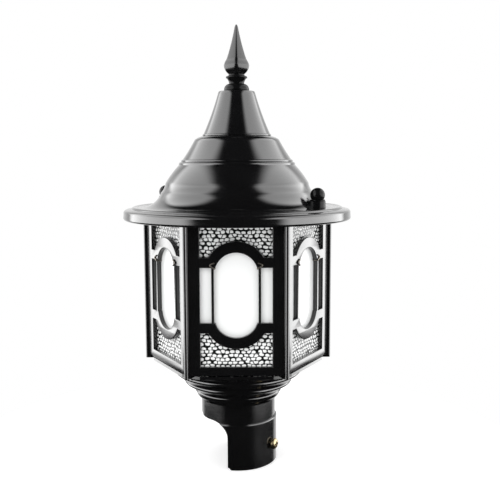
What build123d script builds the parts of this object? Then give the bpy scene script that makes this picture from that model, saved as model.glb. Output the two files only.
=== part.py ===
# Post top lantern: a hexagonal cast body with six tracery windows, a spun three-tier roof held by
# two ball nuts, a spear finial, a stepped bowl and a slip-over post socket with clamp screws.
# Millimetres. Origin: centre of the socket's mouth, +Z up the post, one face towards -Y.
import os
from math import cos, radians, sin

from build123d import *

os.makedirs("parts", exist_ok=True)

# ---- fits ----
run_fit = 0.05             # turning or sliding fit, radial
through_gap = 0.3          # a screw through a plain hole, radial
stud_hole_gap = 0.4        # the roof over its studs, radial

# ---- post socket ----
bore_r = 39.0              # slips over a 76.1 mm post with 0.95 mm all round
socket_wall = 3.0
sleeve_h = 49.4            # thicker sleeve, up to the step
sleeve_round = 0.9
neck_step = 1.7            # the neck stands this far inside the sleeve
neck_h = 27.9              # from the step to the bowl
neck_wall = 4.3
flare_h = 7.8              # height of the flare at the neck's top
flare_out = 3.9
collar_h = 4.3
web_rise = 2.6             # post stop, over the step
web_t = 4.0
web_hole_r = 14.0
notch_x = -10.9            # side notch: its straight edge
notch_rise = 2.2           # its top, over the step
notch_corner_r = 17.0
notch_foot_r = 3.0
notch_lip_r = 2.5          # rounding where the notch leaves the neck

# ---- screws: head radius, head height, shank radius ----
screw_r = 2.0
screw_head_r = 3.8
screw_head_h = 2.6
slot_w = 0.9
slot_depth = 1.2
fine_screw_r = 1.5         # lamp holder, bracket and earth
fine_head_r = 2.9
fine_head_h = 2.0
post_head_r = 3.5          # into the corner posts
post_head_h = 2.4
tapped_depth = 14.0
screw_reach = 11.0         # thread in the far piece

# ---- clamp screws ----
clamp_z = 22.4
clamp_az = (-30.0, 90.0)
clamp_r = 3.0
clamp_head_r = 6.0
clamp_head_t = 3.8
clamp_head_round = 1.8
clamp_slot_w = 1.4
clamp_slot_depth = 1.6
clamp_tip_gap = 0.15       # tip sits this far outside the bore when undone
clamp_head_seat = 2.0      # head stands this far off the sleeve when undone

# ---- bowl ----
bowl_h = 34.7
bowl_lip = 0.4             # the bowl's foot is this much wider than the neck's collar
bowl_wall_side = 4.6       # inside behind a bead: this far in ...
bowl_wall_up = 1.8         # ... and this far up
bowl_floor_t = 3.0
bowl_bead_1 = (0.36, 12.1)  # share of the way from foot to rim, height over the foot
bowl_bead_2 = (0.636, 23.1)
cove_share = 0.08          # a cove's depth to its length
cable_hole_r = 9.0
neck_boss_r = 5.2
bowl_boss_r = 4.6
bowl_boss_h = 11.0
bowl_hole_depth = 8.5

# ---- grommet ----
grommet_bore_r = 5.0
grommet_lip = 2.6
grommet_lip_t = 1.8

# ---- base plate ----
plate_t = 3.0
plate_inset = 0.6          # plate's edge inside the castings' faces
wire_hole_r = 16.0

# ---- hexagonal body ----
face_apothem = 84.6
casting_t = 5.0
frame_h = 159.0
rail_low = 9.6
rail_high = 7.0
stile_w = 11.33
spandrel_h = 18.4          # from an arch's crown to the rail
arch_side_gap = 3.2        # from an arch to the stile
arch_w = 10.8
bar_over_arch = 6.4        # crossbar's lower edge, over the arch's centre
bar_w = 10.0
mullion_in = 0.3           # mullion stands this far outside the oval
mullion_w = 2.7
cast_edge = 0.5

# ---- corner posts ----
rib_t = 4.0
rib_proud = 3.12           # rib's nose, past the castings' sharp corner
rib_foot = 2.3             # rib reaches this far below the castings
wing_t = 3.0
wing_cover = 2.8           # wing's edge, this far behind the stile's edge
boss_inset = 5.31          # screw boss, inside the castings' inner corner
boss_r = 4.2

# ---- panes and clips ----
pane_t = 3.0
pane_side_gap = 0.4
pane_end_gap = 0.3
pane_corner_r = 1.5
wire_r = 0.7

# ---- top ring and studs ----
ring_t = 3.0
ring_inset = 0.3           # ring's edge, inside the ribs' noses
ring_ledge = 11.6          # ring reaches this far in past the castings
stud_inset = 6.5           # studs, inside the ring's edge
stud_az = (-30.0, 150.0)
stud_r = 2.5
stud_head_half = 4.2
stud_head_h = 3.4
stud_h = 17.5              # over the ring

# ---- roof: shares of the way from the flat top to the rim, heights over the ring ----
roof_top_r = 19.2
roof_h = 120.7
roof_overhang = 19.9       # rim, past the ring
rim_drop = 12.5            # rim's lower edge, below the ring's top
skin_t = 2.0
tier_1_foot = (0.1581, 76.6)
tier_2_head = (0.251, 70.8)
tier_2_foot = (0.3794, 50.0)
tier_3_head = (0.421, 44.4)
tier_3_foot = (0.5593, 25.6)
skirt_bend = (0.6067, 15.6)
tier_1_sag = 0.85          # how far each stretch bows from straight
tier_2_sag = 0.4
tier_3_sag = 0.7
ledge_sag = 0.65
seat_pad_r = 5.5
stud_pad_r = 9.5
stud_pad_in = 1.5          # stud pad's centre, inside the stud's
nut_seat_h = 8.6           # spot-faced seat, over the ring
nut_seat_r = 8.4
nut_seat_cut = 12.0

# ---- ball nuts ----
ball_r = 7.5
ball_over_foot = 4.4
washer_r = 7.8
washer_t = 1.2
blind_gap = 0.6            # bore, past the stud's end

# ---- finial ----
flange_r = 13.2
flange_h = 7.9
flange_top_r = 8.8
cup_foot_r = 7.8
cup_h = 9.8
disc_r = 11.3
spear_h = 50.8
spear_foot_half = 5.59
spear_half = 9.33
finial_stud_r = 3.0
finial_stud_drop = 11.7    # stud, below the roof's top
finial_washer_r = 9.0
finial_washer_t = 1.4
finial_nut_half = 5.0
finial_nut_h = 5.0
finial_gap = 0.2

# ---- lamp ----
bracket_h = 10.0
bracket_w = 24.0
bracket_half = 22.0
bracket_foot = 14.0
bracket_screw_x = 28.0
bracket_hole_r = 9.0
sheet_t = 2.0
holder_r = 20.0
holder_h = 40.0
holder_floor = 6.0
holder_bore_r = 14.2
holder_step_r = 11.0
holder_step_h = 11.0       # wide bore starts this far up
holder_screw_x = 13.5
wire_hole_x = 5.5
wire_hole_y = 4.0
wire_way_r = 1.6
sleeve_bore_r = 13.35
sleeve_outer_gap = 0.1
sleeve_lip = 2.6
sleeve_t = 0.6
sleeve_top = 36.0
cap_r = 12.9
thread_depth = 0.7
thread_pitch = 3.6
thread_turns = 4
cap_z0 = 16.0              # cap's foot, over the holder's foot
cap_h = 23.0
tip_h = 3.6
bulb_r = 30.0
bulb_centre = 97.0         # over the holder's foot
glass_t = 1.0
glass_neck_r = 15.2
glass_neck_h = 8.0

# ---- wiring ----
terminal_y = 50.0
terminal_pitch = 11.0
terminal_l = 34.0
terminal_w = 16.0
terminal_foot_h = 8.0
terminal_h = 15.0
terminal_cell = (9.0, 12.0)
terminal_bore_r = 1.8
terminal_bore_h = 4.5
terminal_well_r = 2.4
terminal_well_depth = 4.0
terminal_screw_r = 2.3
terminal_screw_h = 2.6
terminal_fixing_x = 9.0
earth_x = -48.0
earth_washer_r = 4.4
earth_washer_t = 0.8
earth_head_r = 3.2
earth_head_h = 2.4
lead_r = 1.2
lead_bend_r = 5.0

# ---- places that follow from the sizes above ----
socket_r = bore_r + socket_wall
neck_r = socket_r - neck_step
neck_in_r = neck_r - neck_wall
web_z = sleeve_h + web_rise
neck_top_z = sleeve_h + neck_h
notch_top_z = sleeve_h + notch_rise
neck_screw_ring_r = neck_in_r - 0.85 * neck_boss_r
bowl_foot_r = neck_r + flare_out + 1.2 + bowl_lip
bowl_top_z = neck_top_z + bowl_h
plate_z = bowl_top_z
frame_z0 = plate_z + plate_t
frame_z1 = frame_z0 + frame_h
ring_z1 = frame_z1 + ring_t
inner_apothem = face_apothem - casting_t
corner_r = face_apothem / cos(radians(30))
inner_corner_r = inner_apothem / cos(radians(30))
rib_nose_r = corner_r + rib_proud
rib_root_r = inner_corner_r - 0.2
boss_ring_r = inner_corner_r - boss_inset
plate_corner_r = rib_root_r - 0.2
bowl_rim_r = boss_ring_r - post_head_r - 0.5
ring_r = rib_nose_r - ring_inset
stud_ring_r = ring_r - stud_inset
stud_top_z = ring_z1 + stud_h
rim_r = ring_r + roof_overhang
rim_low_z = ring_z1 - rim_drop
roof_top_z = ring_z1 + roof_h
nut_seat_z = ring_z1 + nut_seat_h
bracket_z = frame_z0 + bracket_h


def face_plane(k, apothem):
    """Upright plane on face k: x across the face, y up, z outward."""
    a = radians(-90 + 60 * k)
    return Plane(
        origin=(apothem * cos(a), apothem * sin(a), 0),
        x_dir=(-sin(a), cos(a), 0),
        z_dir=(cos(a), sin(a), 0),
    )


def plan_plane(azimuth, z):
    """Level plane at height z: x outward along the azimuth, y to its left."""
    a = radians(azimuth)
    return Plane(origin=(0, 0, z), x_dir=(cos(a), sin(a), 0), z_dir=(0, 0, 1))


def edge_u(apothem):
    """Half width of a face casting at this distance from the axis, up to the post's rib."""
    return (apothem * sin(radians(30)) - rib_t / 2) / cos(radians(30))


def screws(places, seat_z, way, head_r, head_h, shank_r, length):
    """Screws with their heads standing off the seat, up for a way of 1, and their shanks opposite."""
    with BuildPart() as made:
        with BuildSketch(Plane.XY.offset(seat_z)):
            with places:
                Circle(head_r)
        extrude(amount=way * head_h)
        top = made.faces().sort_by(Axis.Z, reverse=way > 0)[:len(places.local_locations)]
        chamfer(top.edges(), head_h / 3)
        with BuildSketch(Plane.XY.offset(seat_z)):
            with places:
                Circle(shank_r)
        extrude(amount=-way * length)
    return made.part


def keep(part, name):
    """Labels a finished piece and writes it out."""
    part.label = name
    export_step(part, f"parts/{name}.step")


# Post socket: sleeve, neck and post stop cast in one, notched on the left.
with BuildPart() as post_socket:
    with BuildSketch(Plane.XZ):
        with BuildLine():
            Polyline(
                (web_hole_r, web_z), (bore_r, web_z), (bore_r, 0), (socket_r - sleeve_round, 0),
                (socket_r, sleeve_round), (socket_r, sleeve_h - sleeve_round),
                (socket_r - sleeve_round / 2, sleeve_h), (neck_r, sleeve_h),
                (neck_r, neck_top_z - flare_h),
            )
            TangentArc(
                (neck_r, neck_top_z - flare_h), (neck_r + flare_out, neck_top_z - collar_h),
                tangent=(0, 1),
            )
            Polyline(
                (neck_r + flare_out, neck_top_z - collar_h),
                (neck_r + flare_out + 0.9, neck_top_z - collar_h + 1.2),
                (neck_r + flare_out + 1.2, neck_top_z), (neck_in_r, neck_top_z),
                (neck_in_r, web_z + web_t), (web_hole_r, web_z + web_t), (web_hole_r, web_z),
            )
        make_face()
    revolve(axis=Axis.Z)
    # three bosses inside the neck for the bowl's screws
    with BuildSketch(Plane.XY.offset(web_z + web_t)):
        with PolarLocations(neck_screw_ring_r, 3, start_angle=60):
            Circle(neck_boss_r)
    extrude(amount=neck_top_z - web_z - web_t)
    with BuildSketch(Plane.XY.offset(neck_top_z)):
        with PolarLocations(neck_screw_ring_r, 3, start_angle=60):
            Circle(screw_r + run_fit)
    extrude(amount=-tapped_depth, mode=Mode.SUBTRACT)
    # the notch through the left of the sleeve, its upper corner swept round
    with BuildSketch(Plane.XZ):
        notch_far_x = -socket_r - 10
        with BuildLine():
            Polyline(
                (-neck_r, notch_top_z + notch_lip_r), (notch_far_x, notch_top_z + notch_lip_r),
                (notch_far_x, -2), (notch_x + notch_foot_r, -2), (notch_x + notch_foot_r, 0),
            )
            RadiusArc((notch_x + notch_foot_r, 0), (notch_x, notch_foot_r), -notch_foot_r)
            Line((notch_x, notch_foot_r), (notch_x, notch_top_z - notch_corner_r))
            RadiusArc(
                (notch_x, notch_top_z - notch_corner_r),
                (notch_x - notch_corner_r, notch_top_z), -notch_corner_r,
            )
            Line((notch_x - notch_corner_r, notch_top_z), (notch_lip_r - neck_r, notch_top_z))
            RadiusArc(
                (notch_lip_r - neck_r, notch_top_z), (-neck_r, notch_top_z + notch_lip_r), -notch_lip_r,
            )
        make_face()
    extrude(amount=socket_r + 10, both=True, mode=Mode.SUBTRACT)
    # tapped holes for the clamp screws
    for azimuth in clamp_az:
        d = (cos(radians(azimuth)), sin(radians(azimuth)), 0)
        with BuildSketch(Plane(origin=(0, 0, clamp_z), z_dir=d)):
            Circle(clamp_r + run_fit)
        extrude(amount=socket_r + 5, mode=Mode.SUBTRACT)
keep(post_socket.part, "post_socket")

# Clamp screws: cross-slotted pan heads, drawn undone with their tips just outside the bore.
for azimuth, side in zip(clamp_az, ("front", "back")):
    d = Vector(cos(radians(azimuth)), sin(radians(azimuth)), 0)
    level = Vector(0, 0, clamp_z)
    tip = bore_r + clamp_tip_gap
    seat = socket_r + clamp_head_seat
    with BuildPart() as clamp_screw:
        with BuildSketch(Plane(origin=d * tip + level, z_dir=d)):
            Circle(clamp_r)
        extrude(amount=seat - tip)
        with BuildSketch(Plane(origin=d * seat + level, z_dir=d)):
            Circle(clamp_head_r)
        extrude(amount=clamp_head_t)
        rims = clamp_screw.edges().filter_by(GeomType.CIRCLE).sort_by(Axis((0, 0, clamp_z), d))
        fillet(rims[-1], clamp_head_round)
        with BuildSketch(Plane(origin=d * (seat + clamp_head_t) + level, z_dir=d)):
            Rectangle(clamp_slot_w, 1.5 * clamp_head_r)
            Rectangle(1.5 * clamp_head_r, clamp_slot_w)
        extrude(amount=-clamp_slot_depth, mode=Mode.SUBTRACT)
    keep(clamp_screw.part, f"clamp_screw_{side}")

# Bowl: three coves with a bead between them, open at the top, flat floor on the neck.
bowl_floor_z = neck_top_z
bead_1 = Vector(bowl_foot_r + bowl_bead_1[0] * (bowl_rim_r - bowl_foot_r), bowl_floor_z + bowl_bead_1[1])
bead_2 = Vector(bowl_foot_r + bowl_bead_2[0] * (bowl_rim_r - bowl_foot_r), bowl_floor_z + bowl_bead_2[1])
foot_bead = Vector(bowl_foot_r + 1.6, bowl_floor_z + 0.9)
bead_under = Vector(-3.6, -2.1)
bead_lip = Vector(-1.6, -1.2)
bead_over = Vector(-0.6, 1.5)
bowl_edge = Vector(bowl_rim_r - 1.6, bowl_top_z - 1.4)
plate_screw_ring_r = bead_2.X - 5.2
with BuildPart() as base_bowl:
    with BuildSketch(Plane.XZ):
        with BuildLine():
            Polyline(
                (0, bowl_floor_z), (bowl_foot_r, bowl_floor_z), foot_bead, foot_bead + bead_over,
            )
            last = foot_bead + bead_over
            for bead in (bead_1, bead_2):
                cove = (bead + bead_under - last).length * cove_share
                SagittaArc(last, bead + bead_under, cove)
                Polyline(bead + bead_under, bead + bead_lip, bead, bead + bead_over)
                last = bead + bead_over
            SagittaArc(last, bowl_edge, (bowl_edge - last).length * cove_share)
            Polyline(
                bowl_edge, (bowl_rim_r, bowl_top_z - 0.8), (bowl_rim_r, bowl_top_z), (0, bowl_top_z),
                (0, bowl_floor_z),
            )
        make_face()
    revolve(axis=Axis.Z)
    with BuildSketch(Plane.XZ):
        floor_z = bowl_floor_z + bowl_floor_t
        with BuildLine():
            Polyline(
                (0, floor_z), (bowl_foot_r - bowl_floor_t, floor_z),
                (bead_1.X - bowl_wall_side, bead_1.Y + bowl_wall_up),
                (bead_2.X - bowl_wall_side, bead_2.Y + bowl_wall_up),
                (bowl_rim_r - bowl_wall_side - 2.0, bowl_top_z), (0, bowl_top_z), (0, floor_z),
            )
        make_face()
    revolve(axis=Axis.Z, mode=Mode.SUBTRACT)
    # three bosses for the screws that come down through the base plate
    with BuildSketch(Plane.XY.offset(bowl_top_z - bowl_boss_h)):
        with PolarLocations(plate_screw_ring_r, 3, start_angle=30):
            Circle(bowl_boss_r)
    extrude(amount=bowl_boss_h)
    with BuildSketch(Plane.XY.offset(bowl_top_z)):
        with PolarLocations(plate_screw_ring_r, 3, start_angle=30):
            Circle(screw_r + run_fit)
    extrude(amount=-bowl_hole_depth, mode=Mode.SUBTRACT)
    # cable hole and the three holes down into the neck
    with BuildSketch(Plane.XY.offset(bowl_floor_z)):
        Circle(cable_hole_r)
        with PolarLocations(neck_screw_ring_r, 3, start_angle=60):
            Circle(screw_r + through_gap)
    extrude(amount=bowl_floor_t, mode=Mode.SUBTRACT)
keep(base_bowl.part, "base_bowl")

# Grommet: rubber bush in the bowl's floor, a lip on each side.
with BuildPart() as wire_grommet:
    with BuildSketch(Plane.XZ):
        under_z = bowl_floor_z - grommet_lip_t
        over_z = bowl_floor_z + bowl_floor_t + grommet_lip_t
        with BuildLine():
            Polyline(
                (grommet_bore_r, under_z), (cable_hole_r + grommet_lip, under_z),
                (cable_hole_r + grommet_lip, bowl_floor_z), (cable_hole_r, bowl_floor_z),
                (cable_hole_r, over_z - grommet_lip_t),
                (cable_hole_r + grommet_lip, over_z - grommet_lip_t),
                (cable_hole_r + grommet_lip - 0.8, over_z), (grommet_bore_r, over_z),
                (grommet_bore_r, under_z),
            )
        make_face()
    revolve(axis=Axis.Z)
keep(wire_grommet.part, "wire_grommet")

# Bowl screws: three, on the bowl's floor, into the neck's bosses.
keep(
    screws(
        PolarLocations(neck_screw_ring_r, 3, start_angle=60), bowl_floor_z + bowl_floor_t, 1,
        screw_head_r, screw_head_h, screw_r, bowl_floor_t + 10.0,
    ),
    "bowl_screws",
)

# Base plate: hexagon with its corners trimmed for the posts' ribs.
with BuildPart() as base_plate:
    with BuildSketch(Plane.XY.offset(plate_z)):
        RegularPolygon(face_apothem - plate_inset, 6, major_radius=False, rotation=0)
        Circle(plate_corner_r, mode=Mode.INTERSECT)
        Circle(wire_hole_r, mode=Mode.SUBTRACT)
        with PolarLocations(boss_ring_r, 6):
            Circle(screw_r + through_gap, mode=Mode.SUBTRACT)
        with PolarLocations(plate_screw_ring_r, 3, start_angle=30):
            Circle(screw_r + through_gap, mode=Mode.SUBTRACT)
        with Locations(
            (-bracket_screw_x, 0), (bracket_screw_x, 0), (earth_x, 0),
            (-terminal_fixing_x, terminal_y), (terminal_fixing_x, terminal_y),
        ):
            Circle(fine_screw_r + run_fit, mode=Mode.SUBTRACT)
    extrude(amount=plate_t)
keep(base_plate.part, "base_plate")

# Plate screws: three, down into the bowl's bosses.
keep(
    screws(
        PolarLocations(plate_screw_ring_r, 3, start_angle=30), frame_z0, 1,
        screw_head_r, screw_head_h, screw_r, plate_t + bowl_hole_depth - 1.5,
    ),
    "plate_screws",
)

# Post screws: six, up through the plate's corners into the corner posts, just outside the bowl.
keep(
    screws(
        PolarLocations(boss_ring_r, 6), plate_z, -1,
        post_head_r, post_head_h, screw_r, plate_t + screw_reach,
    ),
    "post_screws",
)

# Window frames: cast face with a rectangular opening and the tracery standing in it: an arch ring
# at each end, short crossbars from the arches to the stiles, and two thin mullions.
opening_half_w = edge_u(face_apothem) - stile_w
opening_half_h = (frame_h - rail_low - rail_high) / 2
window_zc = frame_z0 + rail_low + opening_half_h
arch_out_r = opening_half_w - arch_side_gap
arch_in_r = arch_out_r - arch_w
arch_centre = opening_half_h - spandrel_h - arch_out_r
bar_low = arch_centre + bar_over_arch
bar_high = bar_low + bar_w
mullion_u = arch_in_r + mullion_in + mullion_w / 2
for k in range(6):
    outer = face_plane(k, face_apothem)
    with BuildPart() as window_frame:
        with BuildSketch(plan_plane(-90 + 60 * k, frame_z0)):
            with BuildLine():
                Polyline(
                    (face_apothem, -edge_u(face_apothem)), (face_apothem, edge_u(face_apothem)),
                    (inner_apothem, edge_u(inner_apothem)), (inner_apothem, -edge_u(inner_apothem)),
                    (face_apothem, -edge_u(face_apothem)),
                )
            make_face()
        extrude(amount=frame_h)
        with BuildSketch(outer):
            with Locations((0, window_zc)):
                Rectangle(2 * opening_half_w, 2 * opening_half_h)
            for side in (1, -1):
                with Locations((0, window_zc + side * arch_centre)):
                    Circle(arch_out_r, mode=Mode.SUBTRACT)
                with Locations((0, window_zc + side * (bar_low + bar_high) / 2)):
                    Rectangle(2 * opening_half_w, bar_w, mode=Mode.SUBTRACT)
            with Locations((0, window_zc)):
                Rectangle(2 * opening_half_w, 2 * bar_low)
            for side in (1, -1):
                with Locations((0, window_zc + side * arch_centre)):
                    Circle(arch_in_r)
            with Locations((mullion_u, window_zc), (-mullion_u, window_zc)):
                Rectangle(mullion_w, 2 * bar_low, mode=Mode.SUBTRACT)
        extrude(amount=-casting_t, mode=Mode.SUBTRACT)
        front = window_frame.faces().sort_by(Axis(outer.origin, outer.z_dir))[-1]
        chamfer(front.inner_wires().edges(), cast_edge)
    keep(window_frame.part, f"window_frame_{k + 1}")

# Corner posts: a rib with a half-round nose between the castings, a wing behind each of them
# and a round boss for the screws at both ends.
wing_u = opening_half_w + wing_cover
nose_mid = rib_nose_r - rib_t / 2
for k in range(6):
    azimuth = 60 * k
    with BuildPart() as corner_post:
        with BuildSketch(plan_plane(azimuth, frame_z0 - rib_foot)):
            with Locations(((rib_root_r + nose_mid) / 2, 0)):
                Rectangle(nose_mid - rib_root_r, rib_t)
            with Locations((nose_mid, 0)):
                Circle(rib_t / 2)
        extrude(amount=frame_h + rib_foot)
        with BuildSketch(plan_plane(azimuth, frame_z0)):
            with Locations(((boss_ring_r + rib_root_r) / 2, 0)):
                Rectangle(rib_root_r - boss_ring_r, rib_t)
            with Locations((boss_ring_r, 0)):
                Circle(boss_r)
        extrude(amount=frame_h)
        for turn, side in ((-30, 1), (30, -1)):
            with BuildSketch(plan_plane(azimuth + turn, frame_z0)):
                with BuildLine():
                    Polyline(
                        (inner_apothem, side * wing_u),
                        (inner_apothem, side * edge_u(inner_apothem + rib_t / 2)),
                        (inner_apothem - wing_t, side * edge_u(inner_apothem)),
                        (inner_apothem - wing_t, side * wing_u),
                        (inner_apothem, side * wing_u),
                    )
                make_face()
            extrude(amount=frame_h)
        for z, way in ((frame_z0, 1), (frame_z1, -1)):
            with BuildSketch(plan_plane(azimuth, z)):
                with Locations((boss_ring_r, 0)):
                    Circle(screw_r + run_fit)
            extrude(amount=way * tapped_depth, mode=Mode.SUBTRACT)
    keep(corner_post.part, f"corner_post_{k + 1}")

# Panes: one moulded sheet behind each frame, between the posts' wings.
for k in range(6):
    with BuildPart() as glass_pane:
        with BuildSketch(face_plane(k, inner_apothem)):
            with Locations((0, frame_z0 + frame_h / 2)):
                RectangleRounded(2 * (wing_u - pane_side_gap), frame_h - 2 * pane_end_gap, pane_corner_r)
        extrude(amount=-pane_t)
    keep(glass_pane.part, f"glass_pane_{k + 1}")

# Pane clips: a bent wire at the top of each mullion, hooked over the crossbar's lower edge.
with BuildPart() as pane_clips:
    bar_z = window_zc + bar_low
    for k in range(6):
        face = face_plane(k, face_apothem)
        for side in (1, -1):
            knots = [
                face.from_local_coords((side * (mullion_u - 1.95), bar_z + 5.0, wire_r)),
                face.from_local_coords((side * (mullion_u + 3.95), bar_z + 2.6, wire_r)),
                face.from_local_coords((side * (mullion_u - 2.45), bar_z - 0.8, wire_r)),
                face.from_local_coords((side * (mullion_u - 2.45), bar_z - 0.8, 0.02 - casting_t)),
            ]
            with BuildLine() as bend:
                Polyline(*knots)
            with BuildSketch(Plane(origin=knots[0], z_dir=Vector(*knots[1]) - Vector(*knots[0]))):
                RegularPolygon(wire_r, 8)
            sweep(path=bend.line, transition=Transition.RIGHT)
keep(pane_clips.part, "pane_clips")

# Top ring: flat flange that ties the frames and posts and carries the roof.
with BuildPart() as top_ring:
    with BuildSketch(Plane.XY.offset(frame_z1)):
        Circle(ring_r)
        RegularPolygon(inner_apothem - ring_ledge, 6, major_radius=False, mode=Mode.SUBTRACT)
        with PolarLocations(boss_ring_r, 6):
            Circle(screw_r + through_gap, mode=Mode.SUBTRACT)
        with PolarLocations(stud_ring_r, 2, start_angle=stud_az[0]):
            Circle(stud_r + run_fit, mode=Mode.SUBTRACT)
    extrude(amount=ring_t)
keep(top_ring.part, "top_ring")

# Ring screws: six, down through the ring into the corner posts.
keep(
    screws(
        PolarLocations(boss_ring_r, 6), ring_z1, 1,
        post_head_r, post_head_h, screw_r, ring_t + screw_reach,
    ),
    "ring_screws",
)

# Roof studs: two, hexagon heads under the ring, standing up through the roof.
with BuildPart() as roof_studs:
    with BuildSketch(Plane.XY.offset(frame_z1)):
        with PolarLocations(stud_ring_r, 2, start_angle=stud_az[0]):
            RegularPolygon(stud_head_half, 6, major_radius=False)
    extrude(amount=-stud_head_h)
    with BuildSketch(Plane.XY.offset(frame_z1)):
        with PolarLocations(stud_ring_r, 2, start_angle=stud_az[0]):
            Circle(stud_r)
    extrude(amount=stud_top_z - frame_z1)
keep(roof_studs.part, "roof_studs")


def tier(place):
    """A point of the roof's outline, from its share of the way out and its height over the ring."""
    return Vector(roof_top_r + place[0] * (rim_r - roof_top_r), ring_z1 + place[1])


# The room under the roof: the same tiers a skin's thickness in and down, with the pads that sit on
# the top ring left standing up to the skin.
in_and_down = Vector(-skin_t, -skin_t)
rim = Vector(rim_r, rim_low_z)
skirt_end = rim + Vector(-12.6, 13.4)
with BuildPart() as roof_room:
    with BuildSketch(Plane.XZ):
        with BuildLine():
            Polyline(
                (0, roof_top_z - skin_t), (roof_top_r - skin_t, roof_top_z - skin_t),
                tier(tier_1_foot) + in_and_down, tier(tier_2_head) + in_and_down,
                tier(tier_2_foot) + in_and_down, tier(tier_3_head) + in_and_down,
                tier(tier_3_foot) + in_and_down, tier(skirt_bend) + in_and_down,
                (stud_ring_r - 1.0, nut_seat_z - 4.6), skirt_end + in_and_down,
                rim + Vector(-4.2, 8.8), rim + Vector(-2.2, 6.0), rim + Vector(-2.2, -2.0),
                (0, rim_low_z - 2.0), (0, roof_top_z - skin_t),
            )
        make_face()
    revolve(axis=Axis.Z)
    with BuildSketch(Plane.XY.offset(ring_z1)):
        with PolarLocations(stud_ring_r, 6, start_angle=30):
            Circle(seat_pad_r)
        with PolarLocations(stud_ring_r - stud_pad_in, 2, start_angle=stud_az[0]):
            Circle(stud_pad_r)
    extrude(amount=roof_h, mode=Mode.SUBTRACT)

# Roof: spun skin in three tiers, a bead at each step, flared skirt and rolled rim.
foot_1, head_2, foot_2 = tier(tier_1_foot), tier(tier_2_head), tier(tier_2_foot)
head_3, foot_3, bend = tier(tier_3_head), tier(tier_3_foot), tier(skirt_bend)
top_edge = Vector(roof_top_r, roof_top_z)
with BuildPart() as roof_shell:
    with BuildSketch(Plane.XZ):
        with BuildLine():
            Line((0, roof_top_z), top_edge)
            SagittaArc(top_edge, foot_1, -tier_1_sag)
            Polyline(foot_1, foot_1 + Vector(1.2, -0.9), foot_1 + Vector(0.8, -2.0))
            SagittaArc(foot_1 + Vector(0.8, -2.0), head_2, ledge_sag)
            SagittaArc(head_2, foot_2, -tier_2_sag)
            Polyline(
                foot_2, foot_2 + Vector(2.0, -0.9), foot_2 + Vector(1.4, -2.6),
                foot_2 + Vector(3.9, -3.3), head_3,
            )
            SagittaArc(head_3, foot_3, tier_3_sag)
            flare = TangentArc(foot_3, bend, tangent=(0.15, -1))
            TangentArc(bend, skirt_end, tangent=flare % 1)
            Polyline(
                skirt_end, rim + Vector(-10.2, 13.5), rim + Vector(-8.4, 11.9),
                rim + Vector(-2.8, 10.7), rim + Vector(-0.9, 9.9), rim + Vector(-0.4, 7.5),
                rim + Vector(0, 3.3), rim + Vector(-0.6, 0.9), rim + Vector(-2.2, 0),
                (0, rim_low_z), (0, roof_top_z),
            )
        make_face()
    revolve(axis=Axis.Z)
    add(roof_room.part, mode=Mode.SUBTRACT)
    # the bosses that the nuts draw down on, spot-faced level, and the holes for the studs
    with BuildSketch(Plane.XY.offset(ring_z1)):
        with PolarLocations(stud_ring_r - stud_pad_in, 2, start_angle=stud_az[0]):
            Circle(stud_pad_r)
    extrude(amount=nut_seat_z - ring_z1)
    with BuildSketch(Plane.XY.offset(nut_seat_z)):
        with PolarLocations(stud_ring_r, 2, start_angle=stud_az[0]):
            Circle(nut_seat_r)
    extrude(amount=nut_seat_cut, mode=Mode.SUBTRACT)
    with BuildSketch(Plane.XY.offset(ring_z1)):
        with PolarLocations(stud_ring_r, 2, start_angle=stud_az[0]):
            Circle(stud_r + stud_hole_gap)
    extrude(amount=nut_seat_h, mode=Mode.SUBTRACT)
    # hole for the finial's stud
    with BuildSketch(Plane.XY.offset(roof_top_z)):
        Circle(finial_stud_r + run_fit)
    extrude(amount=-2 * skin_t, mode=Mode.SUBTRACT)
keep(roof_shell.part, "roof_shell")

# Roof washers: one on each spot-faced seat.
with BuildPart() as roof_washers:
    with BuildSketch(Plane.XY.offset(nut_seat_z)):
        with PolarLocations(stud_ring_r, 2, start_angle=stud_az[0]):
            Circle(washer_r)
            Circle(stud_r + stud_hole_gap, mode=Mode.SUBTRACT)
    extrude(amount=washer_t)
keep(roof_washers.part, "roof_washers")

# Ball nuts: round knobs with a flat foot and a blind bore, turning on the studs.
ball_foot_z = nut_seat_z + washer_t
for azimuth, side in zip(stud_az, ("right", "left")):
    centre = Vector(stud_ring_r * cos(radians(azimuth)), stud_ring_r * sin(radians(azimuth)), 0)
    with BuildPart() as ball_nut:
        with Locations(centre + Vector(0, 0, ball_foot_z + ball_over_foot)):
            Sphere(ball_r)
        split(bisect_by=Plane.XY.offset(ball_foot_z), keep=Keep.TOP)
        with BuildSketch(Plane.XY.offset(ball_foot_z)):
            with Locations(centre):
                Circle(stud_r + run_fit)
        extrude(amount=stud_top_z - ball_foot_z + blind_gap, mode=Mode.SUBTRACT)
    keep(ball_nut.part, f"ball_nut_{side}")

# Finial flange: low domed foot on the roof's flat top.
flange_z = roof_top_z + flange_h
finial_hole_r = finial_stud_r + finial_gap
with BuildPart() as finial_flange:
    with BuildSketch(Plane.XZ):
        with BuildLine():
            Polyline(
                (finial_hole_r, roof_top_z), (flange_r, roof_top_z), (flange_r + 0.3, roof_top_z + 0.9),
            )
            ThreePointArc(
                (flange_r + 0.3, roof_top_z + 0.9), (flange_r - 0.6, flange_z - 3.0),
                (flange_top_r, flange_z),
            )
            Polyline((flange_top_r, flange_z), (finial_hole_r, flange_z), (finial_hole_r, roof_top_z))
        make_face()
    revolve(axis=Axis.Z)
keep(finial_flange.part, "finial_flange")

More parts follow.
